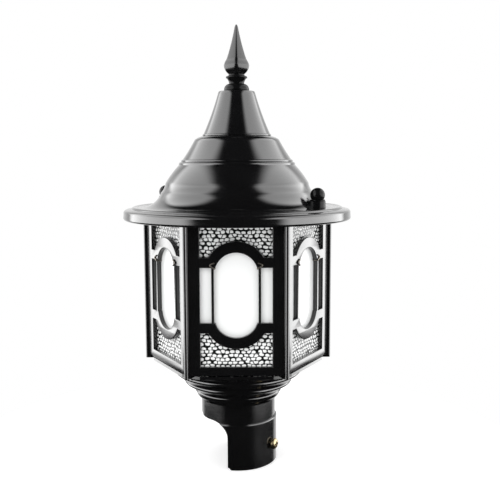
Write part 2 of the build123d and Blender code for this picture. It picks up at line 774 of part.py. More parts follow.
# Finial cup: turned cup with a thin sharp disc below the spear.
cup_z = flange_z + cup_h
with BuildPart() as finial_cup:
    with BuildSketch(Plane.XZ):
        with BuildLine():
            Line((finial_hole_r, flange_z), (cup_foot_r, flange_z))
            ThreePointArc(
                (cup_foot_r, flange_z), (cup_foot_r + 0.6, cup_z - 7.2), (disc_r - 1.1, cup_z - 4.2),
            )
            Polyline(
                (disc_r - 1.1, cup_z - 4.2), (disc_r, cup_z - 3.5), (disc_r, cup_z - 2.7),
                (disc_r - 1.9, cup_z - 1.8), (disc_r - 3.0, cup_z), (finial_hole_r, cup_z),
                (finial_hole_r, flange_z),
            )
        make_face()
    revolve(axis=Axis.Z)
keep(finial_cup.part, "finial_cup")

# Spear: four-sided with an edge to the front, the same outline cut both ways; its stud runs down
# through the cup, the flange and the roof.
shoulder = Vector(spear_half, cup_z + 9.4)
sweep_start = Vector(spear_half - 1.98, cup_z + 15.4)
near_tip = Vector(1.4, cup_z + spear_h - 3.2)
tip_half = 0.35
with BuildPart() as finial_spear:
    for way, mode in ((1, Mode.ADD), (-1, Mode.INTERSECT)):
        with BuildSketch(Plane(origin=(0, 0, 0), x_dir=(1, way, 0), z_dir=(way, -1, 0))):
            with BuildLine():
                Line((0, cup_z), (spear_foot_half, cup_z))
                ThreePointArc((spear_foot_half, cup_z), (spear_half - 1.0, cup_z + 4.9), shoulder)
                ThreePointArc(shoulder, (spear_half - 0.7, cup_z + 12.4), sweep_start)
                SagittaArc(sweep_start, near_tip, -0.42)
                Line(near_tip, (tip_half, cup_z + spear_h))
                Polyline((tip_half, cup_z + spear_h), (0, cup_z + spear_h), (0, cup_z))
            make_face()
            mirror(about=Plane.YZ)
        extrude(amount=2 * spear_half, both=True, mode=mode)
    with BuildSketch(Plane.XY.offset(cup_z)):
        Circle(finial_stud_r)
    extrude(amount=-cup_h - flange_h - finial_stud_drop)
keep(finial_spear.part, "finial_spear")

# Finial washer and nut, inside the roof's top.
roof_ceiling_z = roof_top_z - skin_t
with BuildPart() as finial_washer:
    with BuildSketch(Plane.XY.offset(roof_ceiling_z)):
        Circle(finial_washer_r)
        Circle(finial_stud_r + through_gap, mode=Mode.SUBTRACT)
    extrude(amount=-finial_washer_t)
keep(finial_washer.part, "finial_washer")

with BuildPart() as finial_nut:
    with BuildSketch(Plane.XY.offset(roof_ceiling_z - finial_washer_t)):
        RegularPolygon(finial_nut_half, 6, major_radius=False)
        Circle(finial_stud_r + run_fit, mode=Mode.SUBTRACT)
    extrude(amount=-finial_nut_h)
keep(finial_nut.part, "finial_nut")

# Lamp bracket: folded steel strip standing on the base plate.
with BuildPart() as lamp_bracket:
    with BuildSketch(Plane.XZ):
        with BuildLine() as fold:
            Polyline(
                (-bracket_half - bracket_foot, frame_z0 + sheet_t), (-bracket_half, frame_z0 + sheet_t),
                (-bracket_half, bracket_z), (bracket_half, bracket_z),
                (bracket_half, frame_z0 + sheet_t), (bracket_half + bracket_foot, frame_z0 + sheet_t),
                (bracket_half + bracket_foot, frame_z0), (bracket_half - sheet_t, frame_z0),
                (bracket_half - sheet_t, bracket_z - sheet_t),
                (sheet_t - bracket_half, bracket_z - sheet_t), (sheet_t - bracket_half, frame_z0),
                (-bracket_half - bracket_foot, frame_z0),
                (-bracket_half - bracket_foot, frame_z0 + sheet_t),
            )
        make_face()
    extrude(amount=bracket_w / 2, both=True)
    with BuildSketch(Plane.XY.offset(frame_z0)):
        with Locations((-bracket_screw_x, 0), (bracket_screw_x, 0)):
            Circle(fine_screw_r + through_gap)
    extrude(amount=sheet_t, mode=Mode.SUBTRACT)
    with BuildSketch(Plane.XY.offset(bracket_z)):
        Circle(bracket_hole_r)
        with Locations((-holder_screw_x, 0), (holder_screw_x, 0)):
            Circle(fine_screw_r + through_gap)
    extrude(amount=-sheet_t, mode=Mode.SUBTRACT)
keep(lamp_bracket.part, "lamp_bracket")

# Bracket screws: two, through its feet into the plate.
keep(
    screws(
        Locations((-bracket_screw_x, 0), (bracket_screw_x, 0)), frame_z0 + sheet_t, 1,
        fine_head_r, fine_head_h, fine_screw_r, sheet_t + plate_t + 1.5,
    ),
    "bracket_screws",
)

# Lamp holder: round insulating body with a stepped bore, wire holes in its floor.
with BuildPart() as lamp_holder:
    with BuildSketch(Plane.XY.offset(bracket_z)):
        Circle(holder_r - 1)
    extrude(amount=holder_h / 2)
    with BuildSketch(Plane.XY.offset(bracket_z + holder_h / 2)):
        Circle(holder_r)
    extrude(amount=holder_h / 2)
    with BuildSketch(Plane.XY.offset(bracket_z + holder_h)):
        Circle(holder_bore_r)
    extrude(amount=holder_step_h - holder_h, mode=Mode.SUBTRACT)
    with BuildSketch(Plane.XY.offset(bracket_z + holder_floor)):
        Circle(holder_step_r)
    extrude(amount=holder_step_h - holder_floor, mode=Mode.SUBTRACT)
    with BuildSketch(Plane.XY.offset(bracket_z)):
        with Locations((-wire_hole_x, wire_hole_y), (wire_hole_x, wire_hole_y)):
            Circle(wire_way_r)
        with Locations((-holder_screw_x, 0), (holder_screw_x, 0)):
            Circle(fine_screw_r + run_fit)
    extrude(amount=holder_floor + 1.0, mode=Mode.SUBTRACT)
keep(lamp_holder.part, "lamp_holder")

# Holder screws: two, up through the bracket.
keep(
    screws(
        Locations((-holder_screw_x, 0), (holder_screw_x, 0)), bracket_z - sheet_t, -1,
        fine_head_r, fine_head_h, fine_screw_r, sheet_t + holder_floor,
    ),
    "holder_screws",
)

# Threaded sleeve of the holder: thin brass shell with a lip turned in at its foot.
sleeve_z = bracket_z + holder_step_h
with BuildPart() as holder_sleeve:
    with BuildSketch(Plane.XZ):
        with BuildLine():
            Polyline(
                (sleeve_bore_r - sleeve_lip, sleeve_z), (holder_bore_r - sleeve_outer_gap, sleeve_z),
                (holder_bore_r - sleeve_outer_gap, bracket_z + sleeve_top),
                (sleeve_bore_r, bracket_z + sleeve_top), (sleeve_bore_r, sleeve_z + sleeve_t),
                (sleeve_bore_r - sleeve_lip, sleeve_z + sleeve_t),
                (sleeve_bore_r - sleeve_lip, sleeve_z),
            )
        make_face()
    revolve(axis=Axis.Z)
keep(holder_sleeve.part, "holder_sleeve")

# Centre contact: brass tongue folded up from the holder's floor, just short of the lamp's tip.
contact_z = bracket_z + holder_floor
with BuildPart() as centre_contact:
    with BuildSketch(Plane.XZ):
        with BuildLine():
            Polyline(
                (-7.5, contact_z), (2.0, contact_z), (4.2, contact_z + 3.6), (-1.0, contact_z + 5.9),
                (-3.2, contact_z + 5.4), (-3.2, contact_z + 4.6), (-1.2, contact_z + 4.9),
                (2.4, contact_z + 3.4), (1.4, contact_z + 0.8), (-7.5, contact_z + 0.8),
                (-7.5, contact_z),
            )
        make_face()
    extrude(amount=2.0, both=True)
keep(centre_contact.part, "centre_contact")

# Bulb: hollow glass envelope on a rolled metal cap with a contact tip.
cap_foot_z = bracket_z + cap_z0
cap_top_z = cap_foot_z + cap_h
bulb_z = bracket_z + bulb_centre


def envelope(radius, neck, mouth):
    """One wall of the envelope, from the cap's mouth up the neck and round the ball to the top."""
    ball = Vector(radius * cos(radians(30)), bulb_z - radius * sin(radians(30)))
    Line((mouth, cap_top_z), (neck, cap_top_z + glass_neck_h))
    TangentArc(ball, (neck, cap_top_z + glass_neck_h), tangent=(-sin(radians(30)), -cos(radians(30))))
    ThreePointArc(ball, (radius, bulb_z), (0, bulb_z + radius))


with BuildPart() as bulb_glass:
    with BuildSketch(Plane.XZ):
        with BuildLine():
            envelope(bulb_r, glass_neck_r, cap_r - 0.2)
            envelope(bulb_r - glass_t, glass_neck_r - glass_t, cap_r - 1.4)
            Line((0, bulb_z + bulb_r - glass_t), (0, bulb_z + bulb_r))
            Line((cap_r - 1.4, cap_top_z), (cap_r - 0.2, cap_top_z))
        make_face()
    revolve(axis=Axis.Z)
keep(bulb_glass.part, "bulb_glass")

with BuildPart() as bulb_cap:
    with BuildSketch(Plane.XZ):
        thread = [(0, cap_foot_z), (cap_r - 1.5, cap_foot_z)]
        for turn in range(thread_turns):
            thread.append((cap_r - thread_depth, cap_foot_z + 2.0 + turn * thread_pitch))
            thread.append((cap_r, cap_foot_z + 2.0 + (turn + 0.5) * thread_pitch))
        thread.append((cap_r - 0.3, cap_foot_z + 2.0 + thread_turns * thread_pitch))
        with BuildLine():
            Polyline(*thread, (cap_r - 0.3, cap_top_z), (0, cap_top_z), (0, cap_foot_z))
        make_face()
    revolve(axis=Axis.Z)
keep(bulb_cap.part, "bulb_cap")

with BuildPart() as bulb_tip:
    with BuildSketch(Plane.XZ):
        with BuildLine():
            Polyline(
                (0, cap_foot_z - tip_h), (3.4, cap_foot_z - tip_h), (4.8, cap_foot_z - tip_h + 1.4),
                (cap_r - 2.7, cap_foot_z), (0, cap_foot_z), (0, cap_foot_z - tip_h),
            )
        make_face()
    revolve(axis=Axis.Z)
keep(bulb_tip.part, "bulb_tip")

# Terminal block: three-way, screwed to the base plate behind the lamp.
cells = [(x, terminal_y) for x in (-terminal_pitch, 0, terminal_pitch)]
with BuildPart() as terminal_block:
    with BuildSketch(Plane.XY.offset(frame_z0)):
        with Locations((0, terminal_y)):
            RectangleRounded(terminal_l, terminal_w, 2)
    extrude(amount=terminal_foot_h)
    with BuildSketch(Plane.XY.offset(frame_z0 + terminal_foot_h)):
        with Locations(*cells):
            RectangleRounded(*terminal_cell, 1.5)
    extrude(amount=terminal_h - terminal_foot_h)
    with BuildSketch(Plane.XZ.offset(-terminal_y + terminal_w / 2)):
        with Locations(*[(x, frame_z0 + terminal_bore_h) for x, y in cells]):
            Circle(terminal_bore_r)
    extrude(amount=-terminal_w, mode=Mode.SUBTRACT)
    with BuildSketch(Plane.XY.offset(frame_z0 + terminal_h)):
        with Locations(*cells):
            Circle(terminal_well_r)
    extrude(amount=-terminal_well_depth, mode=Mode.SUBTRACT)
keep(terminal_block.part, "terminal_block")

# Terminal screws: three slotted brass screws in the block's wells.
with BuildPart() as terminal_screws:
    with BuildSketch(Plane.XY.offset(frame_z0 + terminal_h - terminal_well_depth)):
        with Locations(*cells):
            Circle(terminal_screw_r)
    extrude(amount=terminal_screw_h)
    with BuildSketch(Plane.XY.offset(frame_z0 + terminal_h - terminal_well_depth + terminal_screw_h)):
        with Locations(*cells):
            Rectangle(2 * terminal_screw_r, slot_w)
    extrude(amount=-slot_depth, mode=Mode.SUBTRACT)
keep(terminal_screws.part, "terminal_screws")

# Earth screw: on the plate's left, with a washer under its head.
with BuildPart() as earth_screw:
    with BuildSketch(Plane.XY.offset(frame_z0)):
        with Locations((earth_x, 0)):
            Circle(earth_washer_r)
    extrude(amount=earth_washer_t)
    with BuildSketch(Plane.XY.offset(frame_z0 + earth_washer_t)):
        with Locations((earth_x, 0)):
            Circle(earth_head_r)
    extrude(amount=earth_head_h)
    with BuildSketch(Plane.XY.offset(frame_z0)):
        with Locations((earth_x, 0)):
            Circle(fine_screw_r)
    extrude(amount=-plate_t - 2.0)
    with BuildSketch(Plane.XY.offset(frame_z0 + earth_washer_t + earth_head_h)):
        with Locations((earth_x, 0)):
            Rectangle(2 * earth_head_r, slot_w)
    extrude(amount=-slot_depth, mode=Mode.SUBTRACT)
keep(earth_screw.part, "earth_screw")

# Lamp leads: two short wires from the block, under the bracket and up into the holder.
lead_y = terminal_y - terminal_w / 2 + 2.5
lead_z = frame_z0 + terminal_bore_h
for name, side in (("lead_live", -1), ("lead_neutral", 1)):
    with BuildPart() as lead:
        with BuildLine() as run:
            FilletPolyline(
                (side * terminal_pitch, lead_y, lead_z), (side * terminal_pitch, lead_y - 14.5, lead_z),
                (side * wire_hole_x, wire_hole_y, lead_z),
                (side * wire_hole_x, wire_hole_y, contact_z + 2.5), radius=lead_bend_r,
            )
        with BuildSketch(Plane(origin=(side * terminal_pitch, lead_y, lead_z), z_dir=(0, -1, 0))):
            Circle(lead_r)
        sweep(path=run.line)
    keep(lead.part, name)
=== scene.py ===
from math import acos, asin, atan2, ceil, copysign, cos, pi, radians, sin, tan

import bmesh
import bpy
from mathutils import Matrix, Vector


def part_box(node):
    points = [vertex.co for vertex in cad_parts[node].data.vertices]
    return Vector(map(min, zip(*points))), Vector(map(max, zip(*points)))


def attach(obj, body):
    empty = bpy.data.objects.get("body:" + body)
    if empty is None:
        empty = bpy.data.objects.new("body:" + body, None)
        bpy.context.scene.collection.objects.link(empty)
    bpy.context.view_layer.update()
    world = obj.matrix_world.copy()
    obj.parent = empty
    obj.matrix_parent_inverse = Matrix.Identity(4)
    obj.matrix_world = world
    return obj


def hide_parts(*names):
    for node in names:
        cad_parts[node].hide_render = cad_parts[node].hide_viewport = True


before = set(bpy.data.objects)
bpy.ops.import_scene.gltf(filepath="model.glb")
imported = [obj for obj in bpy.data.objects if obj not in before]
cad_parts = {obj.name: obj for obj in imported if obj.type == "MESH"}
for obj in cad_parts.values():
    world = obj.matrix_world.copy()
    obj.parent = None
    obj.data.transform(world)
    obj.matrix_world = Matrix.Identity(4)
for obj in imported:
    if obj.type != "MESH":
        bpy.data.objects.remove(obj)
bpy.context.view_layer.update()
MM = 0.001

# The studio: a pale round table top under an even white sky. Black gloss shows its edges only in
# what it mirrors, so to gloss there is a broad softbox at each side, a low backdrop behind the
# lantern, and dark in front of it.
scene = bpy.context.scene
scene.view_settings.view_transform = "Standard"


def node(tree, kind, inputs=None, **settings):
    """One node of a tree, with its settings, and its inputs given as values or linked sockets."""
    made = tree.nodes.new(kind)
    for key, value in settings.items():
        setattr(made, key, value)
    for key, value in (inputs or {}).items():
        if isinstance(value, bpy.types.NodeSocket):
            tree.links.new(value, made.inputs[key])
        else:
            made.inputs[key].default_value = value
    return made


def combine(tree, operation, first, second=0.0):
    """The result of an operation on one or two values or sockets."""
    return node(tree, "ShaderNodeMath", {0: first, 1: second}, operation=operation).outputs[0]


def ramp(tree, value, start, end, low=0.0, high=1.0):
    """A smooth rise from low to high as the value goes from start to end."""
    return node(tree, "ShaderNodeMapRange", {
        "Value": value, "From Min": start, "From Max": end, "To Min": low, "To Max": high},
        interpolation_type="SMOOTHSTEP").outputs[0]


def pick_rays(tree, *kinds):
    """1 for the named kinds of ray, 0 for the others."""
    path = node(tree, "ShaderNodeLightPath")
    found = path.outputs[kinds[0]]
    for kind in kinds[1:]:
        found = combine(tree, "MAXIMUM", found, path.outputs[kind])
    return found


def linked(name, data):
    """A new object in the scene."""
    made = bpy.data.objects.new(name, data)
    scene.collection.objects.link(made)
    return made


def meshed(name, bm):
    """The faces as a mesh."""
    made = bpy.data.meshes.new(name)
    bm.to_mesh(made)
    bm.free()
    return made


def material_new(name, settings):
    """A new material with its tree, and its shader with the given settings."""
    made = bpy.data.materials.new(name)
    made.use_nodes = True
    shader = made.node_tree.nodes["Principled BSDF"]
    for key, value in settings.items():
        shader.inputs[key].default_value = value
    return made, made.node_tree, shader


ambient_level = 1.12                # the sky, where it lights the lantern
sky_level = 1.0                     # and where the camera sees it
softbox_level = 5.4
softbox_start = (0.62, 0.84)        # how far to the side it begins, and is full
softbox_foot = (-0.315, -0.262)
softbox_fade = (0.12, 0.55)         # the rise in which it dims to its top share
softbox_top_share = 0.62
softbox_back = (0.56, 0.74)         # the way back in which it dims to its back share
softbox_back_share = 0.3
softbox_flare = 0.25                # how much nearer the middle it begins above the flare's rise
flare_rise = (0.05, 0.3)
backdrop_level = 1.0
backdrop_start = (0.55, 0.75)
backdrop_top = (0.45, 0.68)

world = bpy.data.worlds.new("studio")
scene.world = world
world.use_nodes = True
tree = world.node_tree
tree.nodes.clear()
direction = node(tree, "ShaderNodeTexCoord").outputs["Generated"]
toward = node(tree, "ShaderNodeSeparateXYZ", {0: direction}).outputs
sideways = combine(tree, "ABSOLUTE", toward["X"])
flared = combine(tree, "ADD", sideways, ramp(tree, toward["Z"], *flare_rise, 0.0, softbox_flare))
box_height = combine(
    tree, "MULTIPLY", ramp(tree, toward["Z"], *softbox_foot),
    ramp(tree, toward["Z"], *softbox_fade, 1.0, softbox_top_share))
box_depth = combine(
    tree, "MULTIPLY", box_height, ramp(tree, toward["Y"], *softbox_back, 1.0, softbox_back_share))
softboxes = combine(
    tree, "MULTIPLY", ramp(tree, flared, *softbox_start, 0.0, softbox_level), box_depth)
backdrop = combine(
    tree, "MULTIPLY", ramp(tree, toward["Y"], *backdrop_start, 0.0, backdrop_level),
    ramp(tree, toward["Z"], *backdrop_top, 1.0, 0.0))
gloss_light = combine(tree, "MAXIMUM", softboxes, backdrop)
lit = node(tree, "ShaderNodeMix", {
    0: pick_rays(tree, "Is Glossy Ray"), 2: ambient_level, 3: gloss_light}).outputs[0]
seen = node(tree, "ShaderNodeMix", {
    0: pick_rays(tree, "Is Camera Ray", "Is Transmission Ray"), 2: lit, 3: sky_level}).outputs[0]
sky = node(tree, "ShaderNodeBackground", {"Color": (1, 1, 1, 1), "Strength": seen})
node(tree, "ShaderNodeOutputWorld", {"Surface": sky.outputs[0]})

key_size, key_power = 0.9, 7.0
key_place = (-0.75, -1.25, 1.35)
key_aim = (0, 0, 0.2)
key_data = bpy.data.lights.new("key_softbox", "AREA")
key_data.shape = "DISK"
key_data.size = key_size
key_data.energy = key_power
key = linked("key_softbox", key_data)
key.location = key_place
key.rotation_euler = (Vector(key_aim) - key.location).to_track_quat("-Z", "Y").to_euler()
key.visible_glossy = False

table_radius = 0.33
table_top_z = -0.0002               # just under the socket's mouth
table_lift = 0.42                   # brings the table up to the white round it
white, tree, surface = material_new("table_white", {
    "Base Color": (0.86, 0.86, 0.86, 1), "Roughness": 0.9, "Specular IOR Level": 0.0,
    "Emission Color": (1, 1, 1, 1)})
lift = combine(
    tree, "MULTIPLY", pick_rays(tree, "Is Camera Ray", "Is Transmission Ray"), table_lift)
tree.links.new(lift, surface.inputs["Emission Strength"])
bm = bmesh.new()
bmesh.ops.create_circle(bm, cap_ends=True, segments=128, radius=table_radius,
                        matrix=Matrix.Translation((0, 0, table_top_z)))
table = linked("table_top", meshed("table_top", bm))
table.data.materials.append(white)
table.visible_glossy = False

# The camera: in the photograph's place, level with the middle of the roof and under a metre away.
# It looks a little down, and leans a hair to one side.
camera_sensor, camera_lens = 36.0, 52.77
camera_place = (0.01345, -0.7834, 0.3250)
camera_tilt, camera_roll = 6.89, -0.2
camera_near = 0.01
camera_data = bpy.data.cameras.new("camera")
camera_data.sensor_width = camera_sensor
camera_data.lens = camera_lens
camera_data.clip_start = camera_near
camera = linked("camera", camera_data)
camera.location = camera_place
camera.rotation_euler = (Matrix.Rotation(radians(90 - camera_tilt), 3, "X")
                         @ Matrix.Rotation(radians(camera_roll), 3, "Z")).to_euler()
scene.camera = camera


# Post socket: sleeve and neck in one casting, sprayed gloss black. Its skin keeps a faint orange
# peel, and the coat is a little duller in the cloudy patches where the spray lay thin.
def cloudy(tree, place, scale, detail, distortion=0.0):
    """Soft blotches from 0 to 1, smaller for a larger scale."""
    return node(tree, "ShaderNodeTexNoise", {
        "Vector": place, "Scale": scale, "Detail": detail, "Distortion": distortion}).outputs["Fac"]


def toned(tree, shader, share, dark, light):
    """Colours a finish between two tones."""
    tone = node(tree, "ShaderNodeMix", {0: share, 6: dark, 7: light}, data_type="RGBA")
    tree.links.new(tone.outputs[2], shader.inputs["Base Color"])


def patchy(tree, shader, share, low, high):
    """Lets the roughness wander from low to high over the middle of the blotches' range."""
    rough = node(tree, "ShaderNodeMapRange", {
        "Value": share, "From Min": 0.3, "From Max": 0.7, "To Min": low, "To Max": high})
    tree.links.new(rough.outputs[0], shader.inputs["Roughness"])


def textured(tree, shader, height, strength, depth):
    """Gives a finish a relief too fine to model."""
    bump = node(tree, "ShaderNodeBump", {
        "Height": height, "Strength": strength, "Distance": depth})
    tree.links.new(bump.outputs[0], shader.inputs["Normal"])


def black_gloss(name, peel_scale, peel_depth, rough_low, rough_high, coat_weight=0.6, shine=0.5):
    """Sprayed gloss black: near-black under a clear shine, with orange peel of the given size."""
    coat, tree, shader = material_new(name, {
        "IOR": 1.5, "Specular IOR Level": shine, "Coat Weight": coat_weight,
        "Coat Roughness": 0.05})
    place = node(tree, "ShaderNodeTexCoord").outputs["Object"]
    clouds = cloudy(tree, place, 38.0, 4.0)
    toned(tree, shader, clouds, (0.0028, 0.0028, 0.0030, 1), (0.0052, 0.0052, 0.0056, 1))
    patchy(tree, shader, clouds, rough_low, rough_high)
    textured(tree, shader, cloudy(tree, place, peel_scale, 2.0), 0.35, peel_depth)
    return coat


def painted(mesh, *coats):
    """Gives a mesh its finishes, the first of them on every face."""
    mesh.materials.clear()
    for coat in coats:
        mesh.materials.append(coat)


def finish_nodes(coat, *names):
    """Gives CAD pieces their finish."""
    for name in names:
        painted(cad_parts[name].data, coat)


cast_black = black_gloss("cast_black", 520.0, 0.05 * MM, 0.13, 0.21)
finish_nodes(cast_black, "post_socket")


# Clamp screws: two round-headed brass screws through the socket's wall that bite on the post, gone
# dull outdoors. They are turned from bar, and a cross recess is pressed in each head.
def dull_metal(name, dark, light, roughness):
    """Bare metal with a cloudy tarnish and a fine turned grain."""
    made, tree, shader = material_new(name, {"Metallic": 1.0})
    place = node(tree, "ShaderNodeTexCoord").outputs["Object"]
    tarnish = cloudy(tree, place, 240.0, 4.0)
    toned(tree, shader, tarnish, dark, light)
    patchy(tree, shader, tarnish, roughness * 1.3, roughness * 0.8)
    textured(tree, shader, cloudy(tree, place, 900.0, 3.0), 0.3, 0.02 * MM)
    return made


def keep_mesh(name, mesh, body, replaced):
    """Makes a finished mesh a piece of the lantern, in place of its CAD nodes."""
    made = linked(name, mesh)
    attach(made, body)
    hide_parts(*replaced)


def smooth(mesh, angle=35):
    """Smooth shading, sharp where faces meet at more than the angle."""
    mesh.polygons.foreach_set("use_smooth", [True] * len(mesh.polygons))
    mesh.set_sharp_from_angle(angle=radians(angle))


def bowed(start, end, sag, steps=8):
    """Points of an arc whose middle stands to the left of its chord by sag, without the start."""
    first, last = Vector(start), Vector(end)
    chord = last - first
    left = Vector((-chord.y, chord.x)).normalized()
    radius = (chord.length ** 2 / 4 + sag ** 2) / (2 * sag)
    centre = (first + last) / 2 + left * (sag - radius)
    turn = -copysign(2 * atan2(chord.length / 2, abs(radius - sag)), sag)
    arm = first - centre
    return [tuple(centre + Matrix.Rotation(turn * (i + 1) / steps, 2) @ arm) for i in range(steps)]


def leaving(start, end, way, steps=8):
    """Points of an arc that leaves its start along the given way, without the start."""
    chord = Vector(end) - Vector(start)
    lean = atan2(chord.x * way[1] - chord.y * way[0], chord.x * way[0] + chord.y * way[1])
    return bowed(start, end, chord.length / 2 * tan(lean / 2), steps)


def lathe(name, outline, steps, sharp=35):
    """Turns a closed outline of (radius, height) in mm about the lantern's axis."""
    bm = bmesh.new()
    turns = [2 * pi * j / steps for j in range(steps)]
    rings = []
    for r, z in outline:
        if r == 0:
            rings.append([bm.verts.new((0, 0, z * MM))] * steps)
        else:
            rings.append([bm.verts.new((r * MM * cos(a), r * MM * sin(a), z * MM)) for a in turns])
    for low_ring, high_ring in zip(rings, rings[1:] + rings[:1]):
        for j in range(steps):
            i = (j + 1) % steps
            corners = list(dict.fromkeys((low_ring[j], low_ring[i], high_ring[i], high_ring[j])))
            if len(corners) > 2:
                bm.faces.new(corners)
    bmesh.ops.recalc_face_normals(bm, faces=bm.faces)
    mesh = meshed(name, bm)
    smooth(mesh, sharp)
    return mesh


def settled(made):
    """The plain mesh of an object with its modifiers run, the object itself gone."""
    view = bpy.context.evaluated_depsgraph_get()
    mesh = bpy.data.meshes.new_from_object(made.evaluated_get(view))
    bpy.data.objects.remove(made)
    return mesh


def cut(mesh, tools, operation="DIFFERENCE"):
    """The mesh with each tool taken out of it, or added to it."""
    body = linked("cut_body", mesh)
    helpers = [linked("cut_tool", tool) for tool in tools]
    for helper in helpers:
        modifier = body.modifiers.new("cut", "BOOLEAN")
        modifier.operation = operation
        modifier.solver = "EXACT"
        modifier.object = helper
    made = settled(body)
    for helper in helpers:
        bpy.data.objects.remove(helper)
    return made


def block(size, height, turn):
    """A plain block for cutting, in mm, its middle on the axis at the height, turned about Z."""
    bm = bmesh.new()
    bmesh.ops.create_cube(bm, size=1.0)
    bm.transform(Matrix.Translation((0, 0, height * MM)) @ Matrix.Rotation(turn, 4, "Z")
                 @ Matrix.Diagonal((*(side * MM for side in size), 1)))
    return meshed("block", bm)


old_brass = dull_metal("old_brass", (0.16, 0.125, 0.07, 1), (0.60, 0.50, 0.31, 1), 0.30)
clamp_azimuths = {"front": -30, "back": 90}
clamp_height = 22.4                 # of the screws above the socket's mouth
clamp_tip, clamp_seat = 39.15, 44.0  # out from the lantern's axis
clamp_point = 0.5
clamp_point_r, clamp_shank_r = 2.6, 3.0
clamp_under_r, clamp_head_r, clamp_crown_r = 5.6, 6.0, 2.4
clamp_under_t, clamp_edge_t, clamp_head_t = 0.5, 0.9, 3.8
clamp_dome = 0.9
clamp_recess = (7.2, 1.5, 3.6)
clamp_crown = clamp_seat + clamp_head_t
for side, azimuth in clamp_azimuths.items():
    head = lathe(f"clamp_{side}", [
        (0, clamp_tip), (clamp_point_r, clamp_tip), (clamp_shank_r, clamp_tip + clamp_point),
        (clamp_shank_r, clamp_seat), (clamp_under_r, clamp_seat),
        (clamp_head_r, clamp_seat + clamp_under_t)]
        + bowed((clamp_head_r, clamp_seat + clamp_edge_t), (clamp_crown_r, clamp_crown), -clamp_dome)
        + [(0, clamp_crown)], steps=40)
    screw = cut(head, [block(clamp_recess, clamp_crown, turn) for turn in (0.0, pi / 2)])
    smooth(screw)
    screw.transform(Matrix.Translation((0, 0, clamp_height * MM))
                    @ Matrix.Rotation(radians(azimuth), 4, "Z") @ Matrix.Rotation(pi / 2, 4, "Y"))
    painted(screw, old_brass)
    keep_mesh(f"brass_screw_clamp_{side}", screw, f"clamp_{side}", [f"clamp_screw_{side}"])

# Bowl: cast in aluminium from a turned pattern, two round beads between long coves, sprayed black
# like the socket. It stands on the neck and is screwed down from inside.
bowl_floor, bowl_floor_top = 77.3, 80.3
cable_hole_r = 9.0
bowl_foot, bowl_foot_top = (45.8, bowl_floor), (46.8, 79.7)
bead_1_low, bead_1_top = (55.4, 87.3), (58.45, 90.9)
bead_2_low, bead_2_top = (65.6, 98.3), (68.6, 101.9)
lip_low, lip_top = (81.0, 110.6), (82.6, 112.0)
foot_bulge, bead_bulge, lip_bulge = 0.9, 1.5, 0.35
bowl_cove = 0.08


def cove(start, end):
    """A hollow stretch, bowed inwards by a share of its length."""
    return bowed(start, end, (Vector(end) - Vector(start)).length * bowl_cove, 10)


bowl_inside = [(76.0, 112.0), (64.6, 102.2), (54.4, 91.2), (42.8, bowl_floor_top)]
bowl = lathe("stepped_bowl", (
    [(cable_hole_r, bowl_floor), bowl_foot]
    + bowed(bowl_foot, bowl_foot_top, -foot_bulge, 6)
    + cove(bowl_foot_top, bead_1_low)
    + bowed(bead_1_low, bead_1_top, -bead_bulge)
    + cove(bead_1_top, bead_2_low)
    + bowed(bead_2_low, bead_2_top, -bead_bulge)
    + cove(bead_2_top, lip_low)
    + bowed(lip_low, lip_top, -lip_bulge, 4)
    + bowl_inside + [(cable_hole_r, bowl_floor_top)]
), steps=144, sharp=40)
painted(bowl, cast_black)
keep_mesh("stepped_bowl", bowl, "base", ["base_bowl"])

# Grommet: a soft rubber bush moulded in black, pressed into the hole in the bowl's floor, where the
# supply wire comes up from the post. Its skin has a grey bloom.
rubber, tree, shader = material_new("grommet_rubber", {"Roughness": 0.75})
place = node(tree, "ShaderNodeTexCoord").outputs["Object"]
bloom = cloudy(tree, place, 350.0, 4.0)
toned(tree, shader, bloom, (0.012, 0.012, 0.012, 1), (0.035, 0.034, 0.033, 1))
finish_nodes(rubber, "wire_grommet")

# Base plate: a flat hexagon cut from aluminium plate, screwed down on the bowl under the windows,
# with the same sprayed coat as the castings.
finish_nodes(cast_black, "base_plate")

# Screws: zinc-plated pan heads with a cross recess, those under the posts painted with the plate.
# One tree makes one screw and sets it on every point of a group, turned over where heads face down.
zinc = dull_metal("zinc_plate", (0.38, 0.39, 0.41, 1), (0.62, 0.63, 0.64, 1), 0.30)


def new_tree(name, *sockets):
    """A geometry tree with the named inputs, a material input and a geometry output."""
    made = bpy.data.node_groups.new(name, "GeometryNodeTree")
    made.interface.new_socket("Geometry", in_out="INPUT", socket_type="NodeSocketGeometry")
    for label in sockets:
        made.interface.new_socket(label, in_out="INPUT", socket_type="NodeSocketFloat")
    made.interface.new_socket("Finish", in_out="INPUT", socket_type="NodeSocketMaterial")
    made.interface.new_socket("Geometry", in_out="OUTPUT", socket_type="NodeSocketGeometry")
    return made, node(made, "NodeGroupInput").outputs


def end_tree(tree, geometry, finish):
    """The last nodes of a geometry tree: real faces, with their finish."""
    real = node(tree, "GeometryNodeRealizeInstances", {0: geometry})
    finished = node(tree, "GeometryNodeSetMaterial", {"Geometry": real.outputs[0], "Material": finish})
    node(tree, "NodeGroupOutput", {0: finished.outputs[0]})


def grown(name, mesh, group, values):
    """Runs a geometry tree on a mesh, with its named inputs set, and keeps the plain result."""
    seed = linked(name + "_seed", mesh)
    modifier = seed.modifiers.new("grow", "NODES")
    modifier.node_group = group
    for item in group.interface.items_tree:
        if item.item_type == "SOCKET" and item.in_out == "INPUT" and item.name in values:
            modifier[item.identifier] = values[item.name]
    shaped = settled(seed)
    shaped.name = name
    return shaped


def raised(tree, geometry, rise):
    """A shape of a geometry tree, moved up."""
    up = node(tree, "ShaderNodeCombineXYZ", {2: rise})
    return node(tree, "GeometryNodeTransform", {
        "Geometry": geometry, "Translation": up.outputs[0]}).outputs[0]


